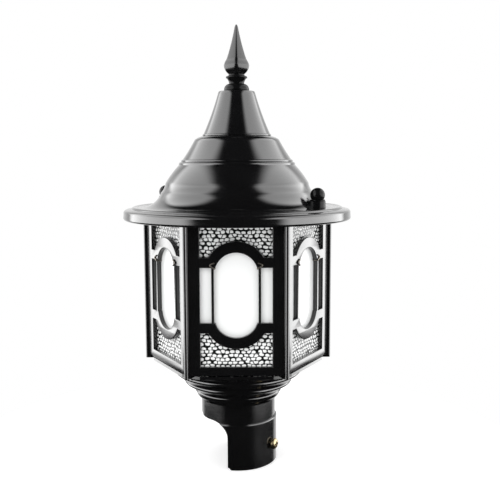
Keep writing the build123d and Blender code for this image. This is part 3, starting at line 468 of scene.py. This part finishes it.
head_sides, shank_sides = 28, 16
crown_start = 0.9                   # share of the head's height above which a face is its crown
crown_share = 0.72                  # of the head's width
recess_length, recess_width = 1.15, 0.26  # shares of the head's radius
screw_tree, given = new_tree(
    "pan_screws", "Head radius", "Head height", "Shank radius", "Shank length", "Facing")
head = node(screw_tree, "GeometryNodeMeshCylinder", {
    "Vertices": head_sides, "Radius": given["Head radius"], "Depth": given["Head height"]})
head_up = raised(screw_tree, head.outputs["Mesh"],
                 combine(screw_tree, "MULTIPLY", given["Head height"], 0.5))
place = node(screw_tree, "GeometryNodeInputPosition").outputs[0]
on_crown = combine(
    screw_tree, "GREATER_THAN", node(screw_tree, "ShaderNodeSeparateXYZ", {0: place}).outputs["Z"],
    combine(screw_tree, "MULTIPLY", given["Head height"], crown_start))
shaped = node(screw_tree, "GeometryNodeScaleElements", {
    "Geometry": head_up, "Selection": on_crown, "Scale": crown_share}, domain="FACE").outputs[0]
bar_size = node(screw_tree, "ShaderNodeCombineXYZ", {
    0: combine(screw_tree, "MULTIPLY", given["Head radius"], recess_length),
    1: combine(screw_tree, "MULTIPLY", given["Head radius"], recess_width), 2: given["Head height"]})
bar = raised(screw_tree, node(screw_tree, "GeometryNodeMeshCube", {
    "Size": bar_size.outputs[0]}).outputs["Mesh"], given["Head height"])
for turn in (0.0, pi / 2):
    across = node(screw_tree, "GeometryNodeTransform", {
        "Geometry": bar, "Rotation": (0.0, 0.0, turn)})
    shaped = node(screw_tree, "GeometryNodeMeshBoolean", {
        "Mesh 1": shaped, "Mesh 2": across.outputs[0]},
        operation="DIFFERENCE", solver="EXACT").outputs[0]
shank = node(screw_tree, "GeometryNodeMeshCylinder", {
    "Vertices": shank_sides, "Radius": given["Shank radius"], "Depth": given["Shank length"]})
whole = node(screw_tree, "GeometryNodeJoinGeometry", {0: shaped})
screw_tree.links.new(
    raised(screw_tree, shank.outputs["Mesh"],
           combine(screw_tree, "MULTIPLY", given["Shank length"], -0.5)), whole.inputs[0])
tipped = node(screw_tree, "ShaderNodeCombineXYZ", {0: given["Facing"]}).outputs[0]
turned = node(screw_tree, "GeometryNodeTransform", {
    "Geometry": whole.outputs[0], "Rotation": tipped})
points = node(screw_tree, "GeometryNodeMeshToPoints", {"Mesh": given["Geometry"]})
placed = node(screw_tree, "GeometryNodeInstanceOnPoints", {
    "Points": points.outputs[0], "Instance": turned.outputs[0]})
end_tree(screw_tree, placed.outputs[0], given["Finish"])


def around(radius, count, start, z):
    """Points in mm evenly round the axis."""
    turns = [radians(start + 360 * i / count) for i in range(count)]
    return [(radius * cos(a), radius * sin(a), z) for a in turns]


bowl_ring, plate_ring, corner_ring = 31.58, 64.0, 86.6
bracket_reach, holder_reach = 28.0, 13.5
plate_low, plate_top = 112.0, 115.0
bracket_top, holder_low, ring_top = 117.0, 123.0, 277.0
head_small = (2.9, 2.0, 1.5)        # radius and height of the head, radius of the shank
head_post = (3.5, 2.4, 2.0)
head_large = (3.8, 2.6, 2.0)
screw_groups = {                    # places, head, length of the shank, 1 for heads up
    "bowl_screws": (around(bowl_ring, 3, 60, bowl_floor_top), head_large, 13.0, 1),
    "plate_screws": (around(plate_ring, 3, 30, plate_top), head_large, 10.0, 1),
    "post_screws": (around(corner_ring, 6, 0, plate_low), head_post, 14.0, -1),
    "ring_screws": (around(corner_ring, 6, 0, ring_top), head_post, 14.0, 1),
    "bracket_screws": (around(bracket_reach, 2, 180, bracket_top), head_small, 5.0, 1),
    "holder_screws": (around(holder_reach, 2, 180, holder_low), head_small, 8.0, -1),
}
for name, (places, (head_r, head_h, shank_r), length, way) in screw_groups.items():
    seeds = bpy.data.meshes.new(name + "_places")
    seeds.from_pydata([Vector(place) * MM for place in places], [], [])
    mesh = grown(f"pan_{name}", seeds, screw_tree, {
        "Head radius": head_r * MM, "Head height": head_h * MM, "Shank radius": shank_r * MM,
        "Shank length": length * MM, "Facing": 0.0 if way > 0 else pi,
        "Finish": cast_black if name == "post_screws" else zinc})
    smooth(mesh, 30)
    keep_mesh(f"pan_{name}", mesh, "base", [name])


# Window frames: six cast frames, an oval with arched ends, two crossbars and two thin mullions
# each. Every edge keeps the small round of the casting, and the sides are mitred at the posts.
face_apothem = 84.6
casting_depth, casting_round = 5.0, 0.7
casting_round_steps = 3
weld = 0.001
mitre_width = 46.5
mitre_lean = radians(30)
rail_top, rail_bottom = 79.2, 79.8
window_middle = 195.8
opening_width, opening_height = 35.2, 71.2
arch_middle, arch_radius, arch_outer = 20.8, 21.2, 32.0
arch_steps = 40
bar_low, bar_high = 27.2, 37.2
mullion_low, mullion_high = 21.5, 24.2


def face_matrix(k, apothem):
    """Takes across, up and outward to face k of the hexagon."""
    a = radians(-90 + 60 * k)
    across, up, out = Vector((-sin(a), cos(a), 0)), Vector((0, 0, 1)), Vector((cos(a), sin(a), 0))
    turn = Matrix((across, up, out)).transposed().to_4x4()
    return Matrix.Translation(out * apothem * MM + Vector((0, 0, window_middle * MM))) @ turn


def arc_points(centre, radius, start, end, steps):
    """Points along an arc about a centre, angles in radians."""
    turns = [start + (end - start) * i / steps for i in range(steps + 1)]
    return [(centre[0] + radius * cos(a), centre[1] + radius * sin(a)) for a in turns]


def mirrored(points, across, up):
    """An outline mirrored across or up."""
    return [(across * x, up * y) for x, y in points]


shoulder = asin((bar_low - arch_middle) / arch_radius)
oval = arc_points((0, arch_middle), arch_radius, shoulder, pi - shoulder, arch_steps)
crown = [(mullion_low, bar_low)] + oval + [(-mullion_low, bar_low)]
window = crown + mirrored(crown, -1, -1)
slot_hole = [(mullion_high, -bar_low), (opening_width, -bar_low), (opening_width, bar_low),
             (mullion_high, bar_low)]
meet = acos((bar_high - arch_middle) / arch_outer)
spandrel = (
    [(opening_width, bar_high), (opening_width, opening_height), (-opening_width, opening_height),
     (-opening_width, bar_high)]
    + arc_points((0, arch_middle), arch_outer, pi / 2 + meet, pi / 2 - meet, arch_steps))
outline = [(-mitre_width, -rail_bottom), (mitre_width, -rail_bottom), (mitre_width, rail_top),
           (-mitre_width, rail_top)]
holes = [window, slot_hole, mirrored(slot_hole, -1, 1), spandrel, mirrored(spandrel, 1, -1)]


def casting(name, outlines, depth, edge):
    """A flat casting from its outlines, in mm, its front at 0 and every edge rounded."""
    curve = bpy.data.curves.new(name, "CURVE")
    curve.dimensions = "2D"
    curve.fill_mode = "BOTH"
    curve.extrude = (depth / 2 - edge) * MM
    curve.bevel_depth = edge * MM
    curve.bevel_resolution = casting_round_steps
    curve.offset = -edge * MM
    for points in outlines:
        spline = curve.splines.new("POLY")
        spline.points.add(len(points) - 1)
        for point, (x, y) in zip(spline.points, points):
            point.co = (x * MM, y * MM, 0, 1)
        spline.use_cyclic_u = True
    mesh = settled(linked(name, curve))
    bm = bmesh.new()
    bm.from_mesh(mesh)
    bmesh.ops.remove_doubles(bm, verts=bm.verts, dist=weld * MM)
    bmesh.ops.recalc_face_normals(bm, faces=bm.faces)
    bm.to_mesh(mesh)
    bm.free()
    mesh.transform(Matrix.Translation((0, 0, -depth / 2 * MM)))
    return mesh


for k in range(6):
    mesh = casting(f"window_casting_{k + 1}", [outline] + holes, casting_depth, casting_round)
    for vertex in mesh.vertices:
        if abs(vertex.co.x) > (mitre_width - 2 * casting_round) * MM:
            vertex.co.x += copysign(vertex.co.z * tan(mitre_lean), vertex.co.x)
    smooth(mesh, 28)
    mesh.transform(face_matrix(k, face_apothem))
    painted(mesh, cast_black)
    keep_mesh(f"window_casting_{k + 1}", mesh, "base", [f"window_frame_{k + 1}"])

# Corner posts: six aluminium castings between the plate and the top ring. Each holds two frames
# behind its round-nosed rib, which stands proud of them, and is sprayed with them.
finish_nodes(cast_black, *[f"corner_post_{k}" for k in range(1, 7)])

# Panes: one pressed sheet behind each frame. Pebbled where it fills the corners round the arches,
# each pebble white with painted shade in the sunk groove round it, and smooth opal white behind
# the oval and the side slots.
pane_depth = 3.0 * MM
pane_grid = 0.7 * MM
pane_shift = 0.2                    # from face to face, so that no two show the same pebbles
smooth_radius, smooth_height = 26.6 * MM, 32.2 * MM
pebble_width, pebble_height = 5.2 * MM, 3.7 * MM
pebble_relief = 0.55 * MM
pebble_dome = (0.12, 0.5)           # from a pebble's middle, where it begins to fall and ends
pebble_stray = 0.42
pebble_drift = 4.0 * MM
# The next three set the near-black painted shade in the sunk grooves round each pebble.
shade_gap = (0.38, 0.48)
shade_groove = (0.14, 0.21)
shade_wander = 0.16
front_margin = 0.1 * MM


def pebble_cells(tree, place, feature):
    """The pebble pattern, from a place across and up the pane: rows set half a pebble apart."""
    drift = node(tree, "ShaderNodeTexNoise", {"Vector": place, "Scale": 75.0, "Detail": 1.0})
    swing = node(tree, "ShaderNodeVectorMath", {
        0: drift.outputs["Color"], 1: (pebble_drift,) * 3, 2: place}, operation="MULTIPLY_ADD")
    scaled = node(tree, "ShaderNodeVectorMath", {
        0: swing.outputs[0], 1: (1 / pebble_width, 1 / pebble_height, 0)}, operation="MULTIPLY")
    parts = node(tree, "ShaderNodeSeparateXYZ", {0: scaled.outputs[0]}).outputs
    row = combine(tree, "FLOOR", combine(tree, "ADD", parts["Y"], 0.5 - pebble_stray / 2))
    odd = combine(tree, "FLOORED_MODULO", row, 2.0)
    shifted = combine(tree, "ADD", parts["X"], combine(tree, "MULTIPLY", odd, 0.5))
    staggered = node(tree, "ShaderNodeCombineXYZ", {0: shifted, 1: parts["Y"]})
    return node(tree, "ShaderNodeTexVoronoi", {
        "Vector": staggered.outputs[0], "Scale": 1.0, "Randomness": pebble_stray},
        voronoi_dimensions="2D", feature=feature).outputs["Distance"]


opal, tree, shader = material_new("pane_opal", {"Roughness": 0.22, "Specular IOR Level": 0.35})
across_pane = node(tree, "ShaderNodeUVMap", uv_map="pane").outputs["UV"]
# The near-black round each pebble is painted shade: the sunk grooves between the pebbles, where the
# glass shows the dark behind it.
uneven = node(tree, "ShaderNodeMath", {
    0: cloudy(tree, across_pane, 420.0, 2.0), 1: shade_wander,
    2: pebble_cells(tree, across_pane, "DISTANCE_TO_EDGE")}, operation="MULTIPLY_ADD").outputs[0]
gap = ramp(tree, pebble_cells(tree, across_pane, "F1"), *shade_gap)
groove = ramp(tree, uneven, *shade_groove, 1.0, 0.0)
pebbled = node(tree, "ShaderNodeAttribute", attribute_name="pebbled").outputs["Fac"]
painted_groove_shade = combine(tree, "MULTIPLY", combine(tree, "MAXIMUM", gap, groove), pebbled)
milk = node(tree, "ShaderNodeMix", {
    0: cloudy(tree, across_pane, 30.0, 3.0), 6: (0.93, 0.95, 0.94, 1), 7: (0.98, 0.98, 0.98, 1)},
    data_type="RGBA")
toned(tree, shader, painted_groove_shade, milk.outputs[2], (0.006, 0.008, 0.007, 1))

pane_tree, given = new_tree("pebbled_pane", "Relief", "Smooth radius", "Smooth height", "Arch middle")
place = node(pane_tree, "GeometryNodeInputPosition").outputs[0]
parts = node(pane_tree, "ShaderNodeSeparateXYZ", {0: place}).outputs
height = combine(pane_tree, "ABSOLUTE", parts["Y"])
from_arch = node(pane_tree, "ShaderNodeCombineXYZ", {
    0: parts["X"], 1: combine(pane_tree, "SUBTRACT", height, given["Arch middle"])})
reach = node(pane_tree, "ShaderNodeVectorMath", {0: from_arch.outputs[0]}, operation="LENGTH")
past_ring = combine(pane_tree, "GREATER_THAN", reach.outputs["Value"], given["Smooth radius"])
past_bar = combine(pane_tree, "GREATER_THAN", height, given["Smooth height"])
in_front = combine(pane_tree, "GREATER_THAN", parts["Z"], -front_margin)
mask = combine(pane_tree, "MULTIPLY", combine(pane_tree, "MULTIPLY", past_ring, past_bar), in_front)
across_pane = node(pane_tree, "GeometryNodeInputNamedAttribute", {
    "Name": "pane"}, data_type="FLOAT_VECTOR").outputs["Attribute"]
dome = ramp(pane_tree, pebble_cells(pane_tree, across_pane, "F1"), *pebble_dome, 0.0, -1.0)
depth = combine(pane_tree, "MULTIPLY", dome, given["Relief"])
sunk = node(pane_tree, "ShaderNodeCombineXYZ", {2: combine(pane_tree, "MULTIPLY", depth, mask)})
marked = node(pane_tree, "GeometryNodeStoreNamedAttribute", {
    "Geometry": given["Geometry"], "Name": "pebbled", "Value": mask},
    data_type="FLOAT", domain="POINT")
pressed = node(pane_tree, "GeometryNodeSetPosition", {
    "Geometry": marked.outputs[0], "Offset": sunk.outputs[0]})
end_tree(pane_tree, pressed.outputs[0], given["Finish"])

low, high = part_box("glass_pane_1")
pane_half_w = (high.x - low.x) / 2
pane_low, pane_high = low.z - window_middle * MM, high.z - window_middle * MM


def pane_blank(shift):
    """A closed sheet: a fine grid in front, plain sides and back."""
    bm = bmesh.new()
    columns = ceil(2 * pane_half_w / pane_grid)
    rows = ceil((pane_high - pane_low) / pane_grid)
    grid = []
    for j in range(rows + 1):
        y = pane_low + (pane_high - pane_low) * j / rows
        grid.append([
            bm.verts.new((pane_half_w * (2 * i / columns - 1), y, 0)) for i in range(columns + 1)])
    for j in range(rows):
        for i in range(columns):
            bm.faces.new((grid[j][i], grid[j][i + 1], grid[j + 1][i + 1], grid[j + 1][i]))
    right, left = [row[-1] for row in grid[1:-1]], [row[0] for row in grid[1:-1]]
    rim = grid[0] + right + grid[-1][::-1] + left[::-1]
    back = [bm.verts.new(v.co + Vector((0, 0, -pane_depth))) for v in rim]
    for i in range(len(rim)):
        j = (i + 1) % len(rim)
        bm.faces.new((rim[j], rim[i], back[i], back[j]))
    bm.faces.new(back[::-1])
    layer = bm.loops.layers.uv.new("pane")
    for face in bm.faces:
        for loop in face.loops:
            loop[layer].uv = (loop.vert.co.x + shift, loop.vert.co.y)
    return meshed("pane_blank", bm)


for k in range(6):
    mesh = grown(f"pebbled_pane_{k + 1}", pane_blank(pane_shift * k), pane_tree, {
        "Relief": pebble_relief, "Smooth radius": smooth_radius, "Smooth height": smooth_height,
        "Arch middle": arch_middle * MM, "Finish": opal})
    mesh.transform(face_matrix(k, face_apothem - casting_depth))
    smooth(mesh, 50)
    keep_mesh(f"pebbled_pane_{k + 1}", mesh, "base", [f"glass_pane_{k + 1}"])

# Clips: a short bent steel wire, gone brown, at the top of each mullion that holds the pane against
# the frame. One tree rounds each wire's bends and gives it its thickness.
wire_steel = dull_metal("clip_wire", (0.10, 0.09, 0.08, 1), (0.24, 0.22, 0.19, 1), 0.42)
wire_radius, wire_bend = 0.7, 0.9
wire_sides, bend_steps = 10, 5
clip_path = (                       # across and up the face, and out from it
    (mullion_low - 0.6, bar_low + 5.0, wire_radius),
    (mullion_high + 2.2, bar_low + 2.6, wire_radius),
    (mullion_low - 0.9, bar_low - 0.8, wire_radius),
    (mullion_low - 0.9, bar_low - 0.8, -casting_depth),
)
wire_tree, given = new_tree("bent_wire", "Wire radius", "Bend radius")
path = node(wire_tree, "GeometryNodeMeshToCurve", {"Mesh": given["Geometry"]})
bent = node(wire_tree, "GeometryNodeFilletCurve", {
    "Curve": path.outputs[0], "Radius": given["Bend radius"], "Count": bend_steps}, mode="POLY")
ring = node(wire_tree, "GeometryNodeCurvePrimitiveCircle", {
    "Resolution": wire_sides, "Radius": given["Wire radius"]})
wire = node(wire_tree, "GeometryNodeCurveToMesh", {
    "Curve": bent.outputs[0], "Profile Curve": ring.outputs[0], "Fill Caps": True})
end_tree(wire_tree, wire.outputs[0], given["Finish"])
knots, links = [], []
for k in range(6):
    there = face_matrix(k, face_apothem)
    for side in (1, -1):
        first = len(knots)
        knots += [there @ Vector((side * u * MM, v * MM, w * MM)) for u, v, w in clip_path]
        links += [(i, i + 1) for i in range(first, len(knots) - 1)]
seeds = bpy.data.meshes.new("clip_paths")
seeds.from_pydata(knots, links, [])
clips = grown("wire_clips", seeds, wire_tree, {
    "Wire radius": wire_radius * MM, "Bend radius": wire_bend * MM, "Finish": wire_steel})
smooth(clips, 50)
keep_mesh("wire_clips", clips, "base", ["pane_clips"])

# Top ring and studs: a flat aluminium flange screwed to the posts' tops, sprayed like them, and
# two zinc-plated steel studs standing in it that the roof drops over.
finish_nodes(cast_black, "top_ring")
finish_nodes(zinc, "roof_studs")

# Roof: spun aluminium in three tiers with round beads, a flared skirt and a rolled rim, sprayed a
# smoother black than the castings. Two raised seats, faced flat, take the nuts.
spun_black = black_gloss("spun_black", 300.0, 0.02 * MM, 0.12, 0.18, 0.5)
nut_black = black_gloss("nut_black", 700.0, 0.02 * MM, 0.16, 0.22, 0.0, 0.12)
roof_top, roof_top_under = 397.7, 395.7
finial_hole_r = 3.4
crown_flat, crown_edge = (18.7, roof_top), (19.2, 397.2)
tier_1_foot, bead_1_foot = (35.2, 353.6), (36.0, 351.4)
tier_2_head, tier_2_foot = (44.6, 347.8), (57.6, 327.0)
bead_2_foot, tier_3_head = (59.0, 324.6), (61.6, 321.4)
tier_3_foot, flare_head, flare_foot = (75.8, 302.6), (80.6, 292.6), (107.8, 277.9)
tier_3_way, flare_way = (0.15, -1.0), (0.36, -1.0)
step_low, step_edge = (111.8, 276.3), (114.4, 275.9)
rim_top, rim_side, rim_side_low = (117.2, 275.2), (120.1, 271.6), (120.3, 268.2)
rim_turn, rim_low, rim_inside = (120.3, 267.8), (117.6, 264.6), (115.9, 267.0)
tier_1_sag, tier_2_sag, tier_3_sag, ledge_sag = 0.85, 0.4, 0.7, 0.65
bead_1_sag, bead_2_sag, neck_sag, step_sag = 0.75, 0.85, 1.1, 0.9
rim_sag, rim_turn_sag, rim_inside_sag = 1.0, 1.2, 0.5
roof_inside = [
    (116.4, 272.4), (106.0, 275.3), (99.0, 275.3), (92.6, 277.1), (86.1, 281.0), (80.7, 287.0),
    (78.4, 291.4), (73.8, 301.0), (59.8, 319.4), (56.8, 322.6), (55.6, 325.0), (42.6, 345.8),
    (34.0, 349.6), (33.2, 351.6), (17.2, roof_top_under)]
roof = lathe("tiered_roof", (
    [(finial_hole_r, roof_top), crown_flat, crown_edge]
    + bowed(crown_edge, tier_1_foot, -tier_1_sag, 14)
    + bowed(tier_1_foot, bead_1_foot, bead_1_sag, 7)
    + bowed(bead_1_foot, tier_2_head, ledge_sag, 8)
    + bowed(tier_2_head, tier_2_foot, -tier_2_sag, 10)
    + bowed(tier_2_foot, bead_2_foot, bead_2_sag, 7)
    + bowed(bead_2_foot, tier_3_head, neck_sag, 7)
    + bowed(tier_3_head, tier_3_foot, tier_3_sag, 12)
    + leaving(tier_3_foot, flare_head, tier_3_way, 6)
    + leaving(flare_head, flare_foot, flare_way, 14)
    + bowed(flare_foot, step_low, step_sag, 7)
    + [step_edge]
    + bowed(rim_top, rim_side, rim_sag, 7)
    + [rim_side_low]
    + bowed(rim_turn, rim_low, rim_turn_sag, 7)
    + bowed(rim_low, rim_inside, rim_inside_sag, 5)
    + roof_inside + [(finial_hole_r, roof_top_under)]
), steps=160, sharp=40)

nut_azimuths = {"right": -30.0, "left": 150.0}
nut_ring, nut_seat = 94.0, 285.6
nut_sides = 48
boss_inset = 1.5                    # nearer the axis than the nut, towards the steeper skirt
boss_outline = [(0, 276.0), (8.6, 276.0), (9.5, 276.8), (9.5, 285.0), (8.9, nut_seat),
                (0, nut_seat)]
spot_radius, spot_height = 8.4, 12.0
seat_reach, seat_foot = 10.9, 277.6
bosses, spots = [], []
for azimuth in nut_azimuths.values():
    turn = Matrix.Rotation(radians(azimuth), 4, "Z")
    boss = lathe("boss", boss_outline, nut_sides)
    boss.transform(turn @ Matrix.Translation(((nut_ring - boss_inset) * MM, 0, 0)))
    bosses.append(boss)
    spot = lathe("spot", [(0, nut_seat), (spot_radius, nut_seat),
                          (spot_radius, nut_seat + spot_height), (0, nut_seat + spot_height)], nut_sides)
    spot.transform(turn @ Matrix.Translation((nut_ring * MM, 0, 0)))
    spots.append(spot)
roof = cut(cut(roof, bosses, "UNION"), spots)
smooth(roof, 40)
painted(roof, spun_black, nut_black)
for face in roof.polygons:
    for azimuth in nut_azimuths.values():
        seat = Vector((cos(radians(azimuth)), sin(radians(azimuth)))) * nut_ring * MM
        if (face.center.xy - seat).length < seat_reach * MM and face.center.z > seat_foot * MM:
            face.material_index = 1
keep_mesh("tiered_roof", roof, "roof", ["roof_shell"])

# Washers and ball nuts: a turned washer on each seat, and a ball nut with a flat foot screwed down
# on its stud. They are painted satin black, and show only a small white glint.
washer_bore, washer_face, washer_edge = 2.9, 7.4, 7.8
washer_low_bevel, washer_top_bevel = 0.4, 0.35
washer_top = 286.8
ball_radius, ball_middle = 7.5, 291.2
foot_radius = 5.67
foot_clear = 0.03                   # of the nut's flat foot above the washer
washer_outline = [
    (washer_bore, nut_seat), (washer_face, nut_seat), (washer_edge, nut_seat + washer_low_bevel),
    (washer_edge, washer_top - washer_top_bevel), (washer_face, washer_top),
    (washer_bore, washer_top)]
foot = washer_top + foot_clear
ball_start = asin((washer_top - ball_middle) / ball_radius)
ball = arc_points((0, ball_middle), ball_radius, ball_start, pi / 2, 20)[:-1]
nut_outline = [(0, foot), (foot_radius, foot)] + ball + [(0, ball_middle + ball_radius)]
bm = bmesh.new()
for side, azimuth in nut_azimuths.items():
    turn = radians(azimuth)
    move = Matrix.Translation((nut_ring * MM * cos(turn), nut_ring * MM * sin(turn), 0))
    washer = lathe("washer", washer_outline, nut_sides)
    washer.transform(move)
    bm.from_mesh(washer)
    nut = lathe(f"ball_nut_{side}_turned", nut_outline, nut_sides)
    nut.transform(move)
    painted(nut, nut_black)
    keep_mesh(f"ball_nut_{side}_turned", nut, f"nut_{side}", [f"ball_nut_{side}"])
washers = meshed("turned_washers", bm)
smooth(washers)
painted(washers, nut_black)
keep_mesh("turned_washers", washers, "roof", ["roof_washers"])

# Finial flange and cup: turned aluminium threaded on the finial's stud, a low flange under a cup
# with a sharp disc round it, painted satin black like the nuts.
flange_under, flange_edge = (13.1, roof_top), (13.2, roof_top)
flange_shoulder, flange_top = (13.2, roof_top + 1.4), (8.8, 405.6)
cup_foot, cup_side, disc_edge = (7.8, 405.6), (10.2, 411.2), (11.3, 412.3)
disc_top, cup_top = (9.4, 413.6), (8.3, 415.4)
flange_round, flange_dome = 0.25, 1.4
cup_sag, cup_neck_sag, disc_low_sag, disc_top_sag = 0.5, 0.3, 0.3, 0.5
finial_sides = 72
flange = lathe("finial_flange_turned", (
    [(0, roof_top), flange_under]
    + bowed(flange_edge, flange_shoulder, flange_round, 4)
    + bowed(flange_shoulder, flange_top, -flange_dome, 12)
    + [(0, flange_top[1])]), finial_sides)
cup = lathe("finial_cup_turned", (
    [(0, cup_foot[1]), cup_foot]
    + bowed(cup_foot, cup_side, cup_sag, 10)
    + bowed(cup_side, disc_edge, -disc_low_sag, 4)
    + bowed(disc_edge, disc_top, -disc_top_sag, 5)
    + bowed(disc_top, cup_top, cup_neck_sag, 4)
    + [(0, cup_top[1])]), finial_sides)
for name, mesh in (("finial_flange", flange), ("finial_cup", cup)):
    painted(mesh, nut_black)
    keep_mesh(f"{name}_turned", mesh, "roof", [name])

# Spear: a four-sided cast point, swelling to a ridged shoulder, its long edges well rounded. It
# screws on the stud, which a plated washer and nut hold from under the roof.
spear_black = black_gloss("spear_black", 420.0, 0.03 * MM, 0.14, 0.22, 0.0, 0.45)
spear_foot, spear_shoulder, spear_waist = (7.9, 0.0), (13.2, 9.4), (10.4, 15.4)
spear_neck, spear_tip = (1.9, 47.6), [(1.1, 50.0), (0.4, 50.8)]
spear_edge_share = 0.4              # how much of its half width the rounding of an edge takes
spear_foot_sag, spear_shoulder_sag, spear_blade_sag = 1.3, 0.4, 0.6
edge_steps = 6
diagonal = 2 ** 0.5
spear_reach = (                     # half the width over the edges, and the height, at each ring
    [spear_foot] + bowed(spear_foot, spear_shoulder, -spear_foot_sag, 12)
    + bowed(spear_shoulder, spear_waist, -spear_shoulder_sag, 8)
    + bowed(spear_waist, spear_neck, spear_blade_sag, 26) + spear_tip)
bm = bmesh.new()
rings = []
for reach, rise in spear_reach:
    half = reach / (diagonal * (1 - spear_edge_share) + spear_edge_share)
    radius = half * spear_edge_share
    arm = (half - radius) * diagonal
    z = (cup_top[1] + rise) * MM
    ring = []
    for corner in range(4):
        a = radians(90 * corner)
        middle = (arm * cos(a), arm * sin(a))
        ring += arc_points(middle, radius, a - pi / 4, a + pi / 4, edge_steps)
    rings.append([bm.verts.new((x * MM, y * MM, z)) for x, y in ring])
for low_ring, high_ring in zip(rings, rings[1:]):
    for j in range(len(low_ring)):
        i = (j + 1) % len(low_ring)
        bm.faces.new((low_ring[j], low_ring[i], high_ring[i], high_ring[j]))
bm.faces.new(rings[0][::-1])
bm.faces.new(rings[-1])
bmesh.ops.recalc_face_normals(bm, faces=bm.faces)
spear = meshed("spear_casting", bm)
smooth(spear, 30)
painted(spear, spear_black)
keep_mesh("spear_casting", spear, "roof", ["finial_spear"])
finish_nodes(zinc, "finial_washer", "finial_nut")

# Lamp bracket, holder and its contacts: a bent plated strip screwed to the base plate, a white
# moulding screwed to the strip from below, and a threaded brass sleeve and contact inside it.
finish_nodes(zinc, "lamp_bracket")


def moulding(name, dark, light, roughness):
    """A moulded plastic with faint flow marks and a soft sheen."""
    made, tree, shader = material_new(name, {"Roughness": roughness})
    place = node(tree, "ShaderNodeTexCoord").outputs["Object"]
    toned(tree, shader, cloudy(tree, place, 90.0, 3.0, 0.6), dark, light)
    textured(tree, shader, cloudy(tree, place, 1400.0, 1.0), 0.2, 0.02 * MM)
    return made


bright_brass = dull_metal("bright_brass", (0.55, 0.40, 0.15, 1), (0.78, 0.60, 0.28, 1), 0.22)
holder_white = moulding("holder_white", (0.78, 0.76, 0.70, 1), (0.88, 0.86, 0.80, 1), 0.28)
finish_nodes(holder_white, "lamp_holder")
finish_nodes(bright_brass, "holder_sleeve", "centre_contact")

# Bulb: a blown globe of clear glass cemented in a rolled aluminium cap, with a black insulator at
# its tip. It screws into the holder's sleeve.
globe, tree, shader = material_new("clear_glass", {
    "Base Color": (0.96, 0.97, 0.96, 1), "Roughness": 0.02, "Transmission Weight": 1.0,
    "IOR": 1.5})
place = node(tree, "ShaderNodeTexCoord").outputs["Object"]
textured(tree, shader, cloudy(tree, place, 60.0, 2.0), 0.1, 0.05 * MM)
cap_alloy = dull_metal("cap_alloy", (0.60, 0.61, 0.62, 1), (0.80, 0.80, 0.80, 1), 0.25)
insulator = moulding("bulb_insulator", (0.02, 0.02, 0.022, 1), (0.05, 0.05, 0.055, 1), 0.25)
finish_nodes(globe, "bulb_glass")
finish_nodes(cap_alloy, "bulb_cap")
finish_nodes(insulator, "bulb_tip")

# Terminal block and wiring: a cream two-way block with brass screws, an earth screw on the plate,
# and two leads in coloured plastic that run up to the holder.
cream = moulding("terminal_cream", (0.74, 0.71, 0.60, 1), (0.84, 0.81, 0.71, 1), 0.35)
brown = moulding("lead_brown", (0.14, 0.06, 0.025, 1), (0.22, 0.10, 0.045, 1), 0.4)
blue = moulding("lead_blue", (0.03, 0.10, 0.34, 1), (0.05, 0.15, 0.45, 1), 0.4)
finish_nodes(cream, "terminal_block")
finish_nodes(bright_brass, "terminal_screws", "earth_screw")
finish_nodes(brown, "lead_live")
finish_nodes(blue, "lead_neutral")
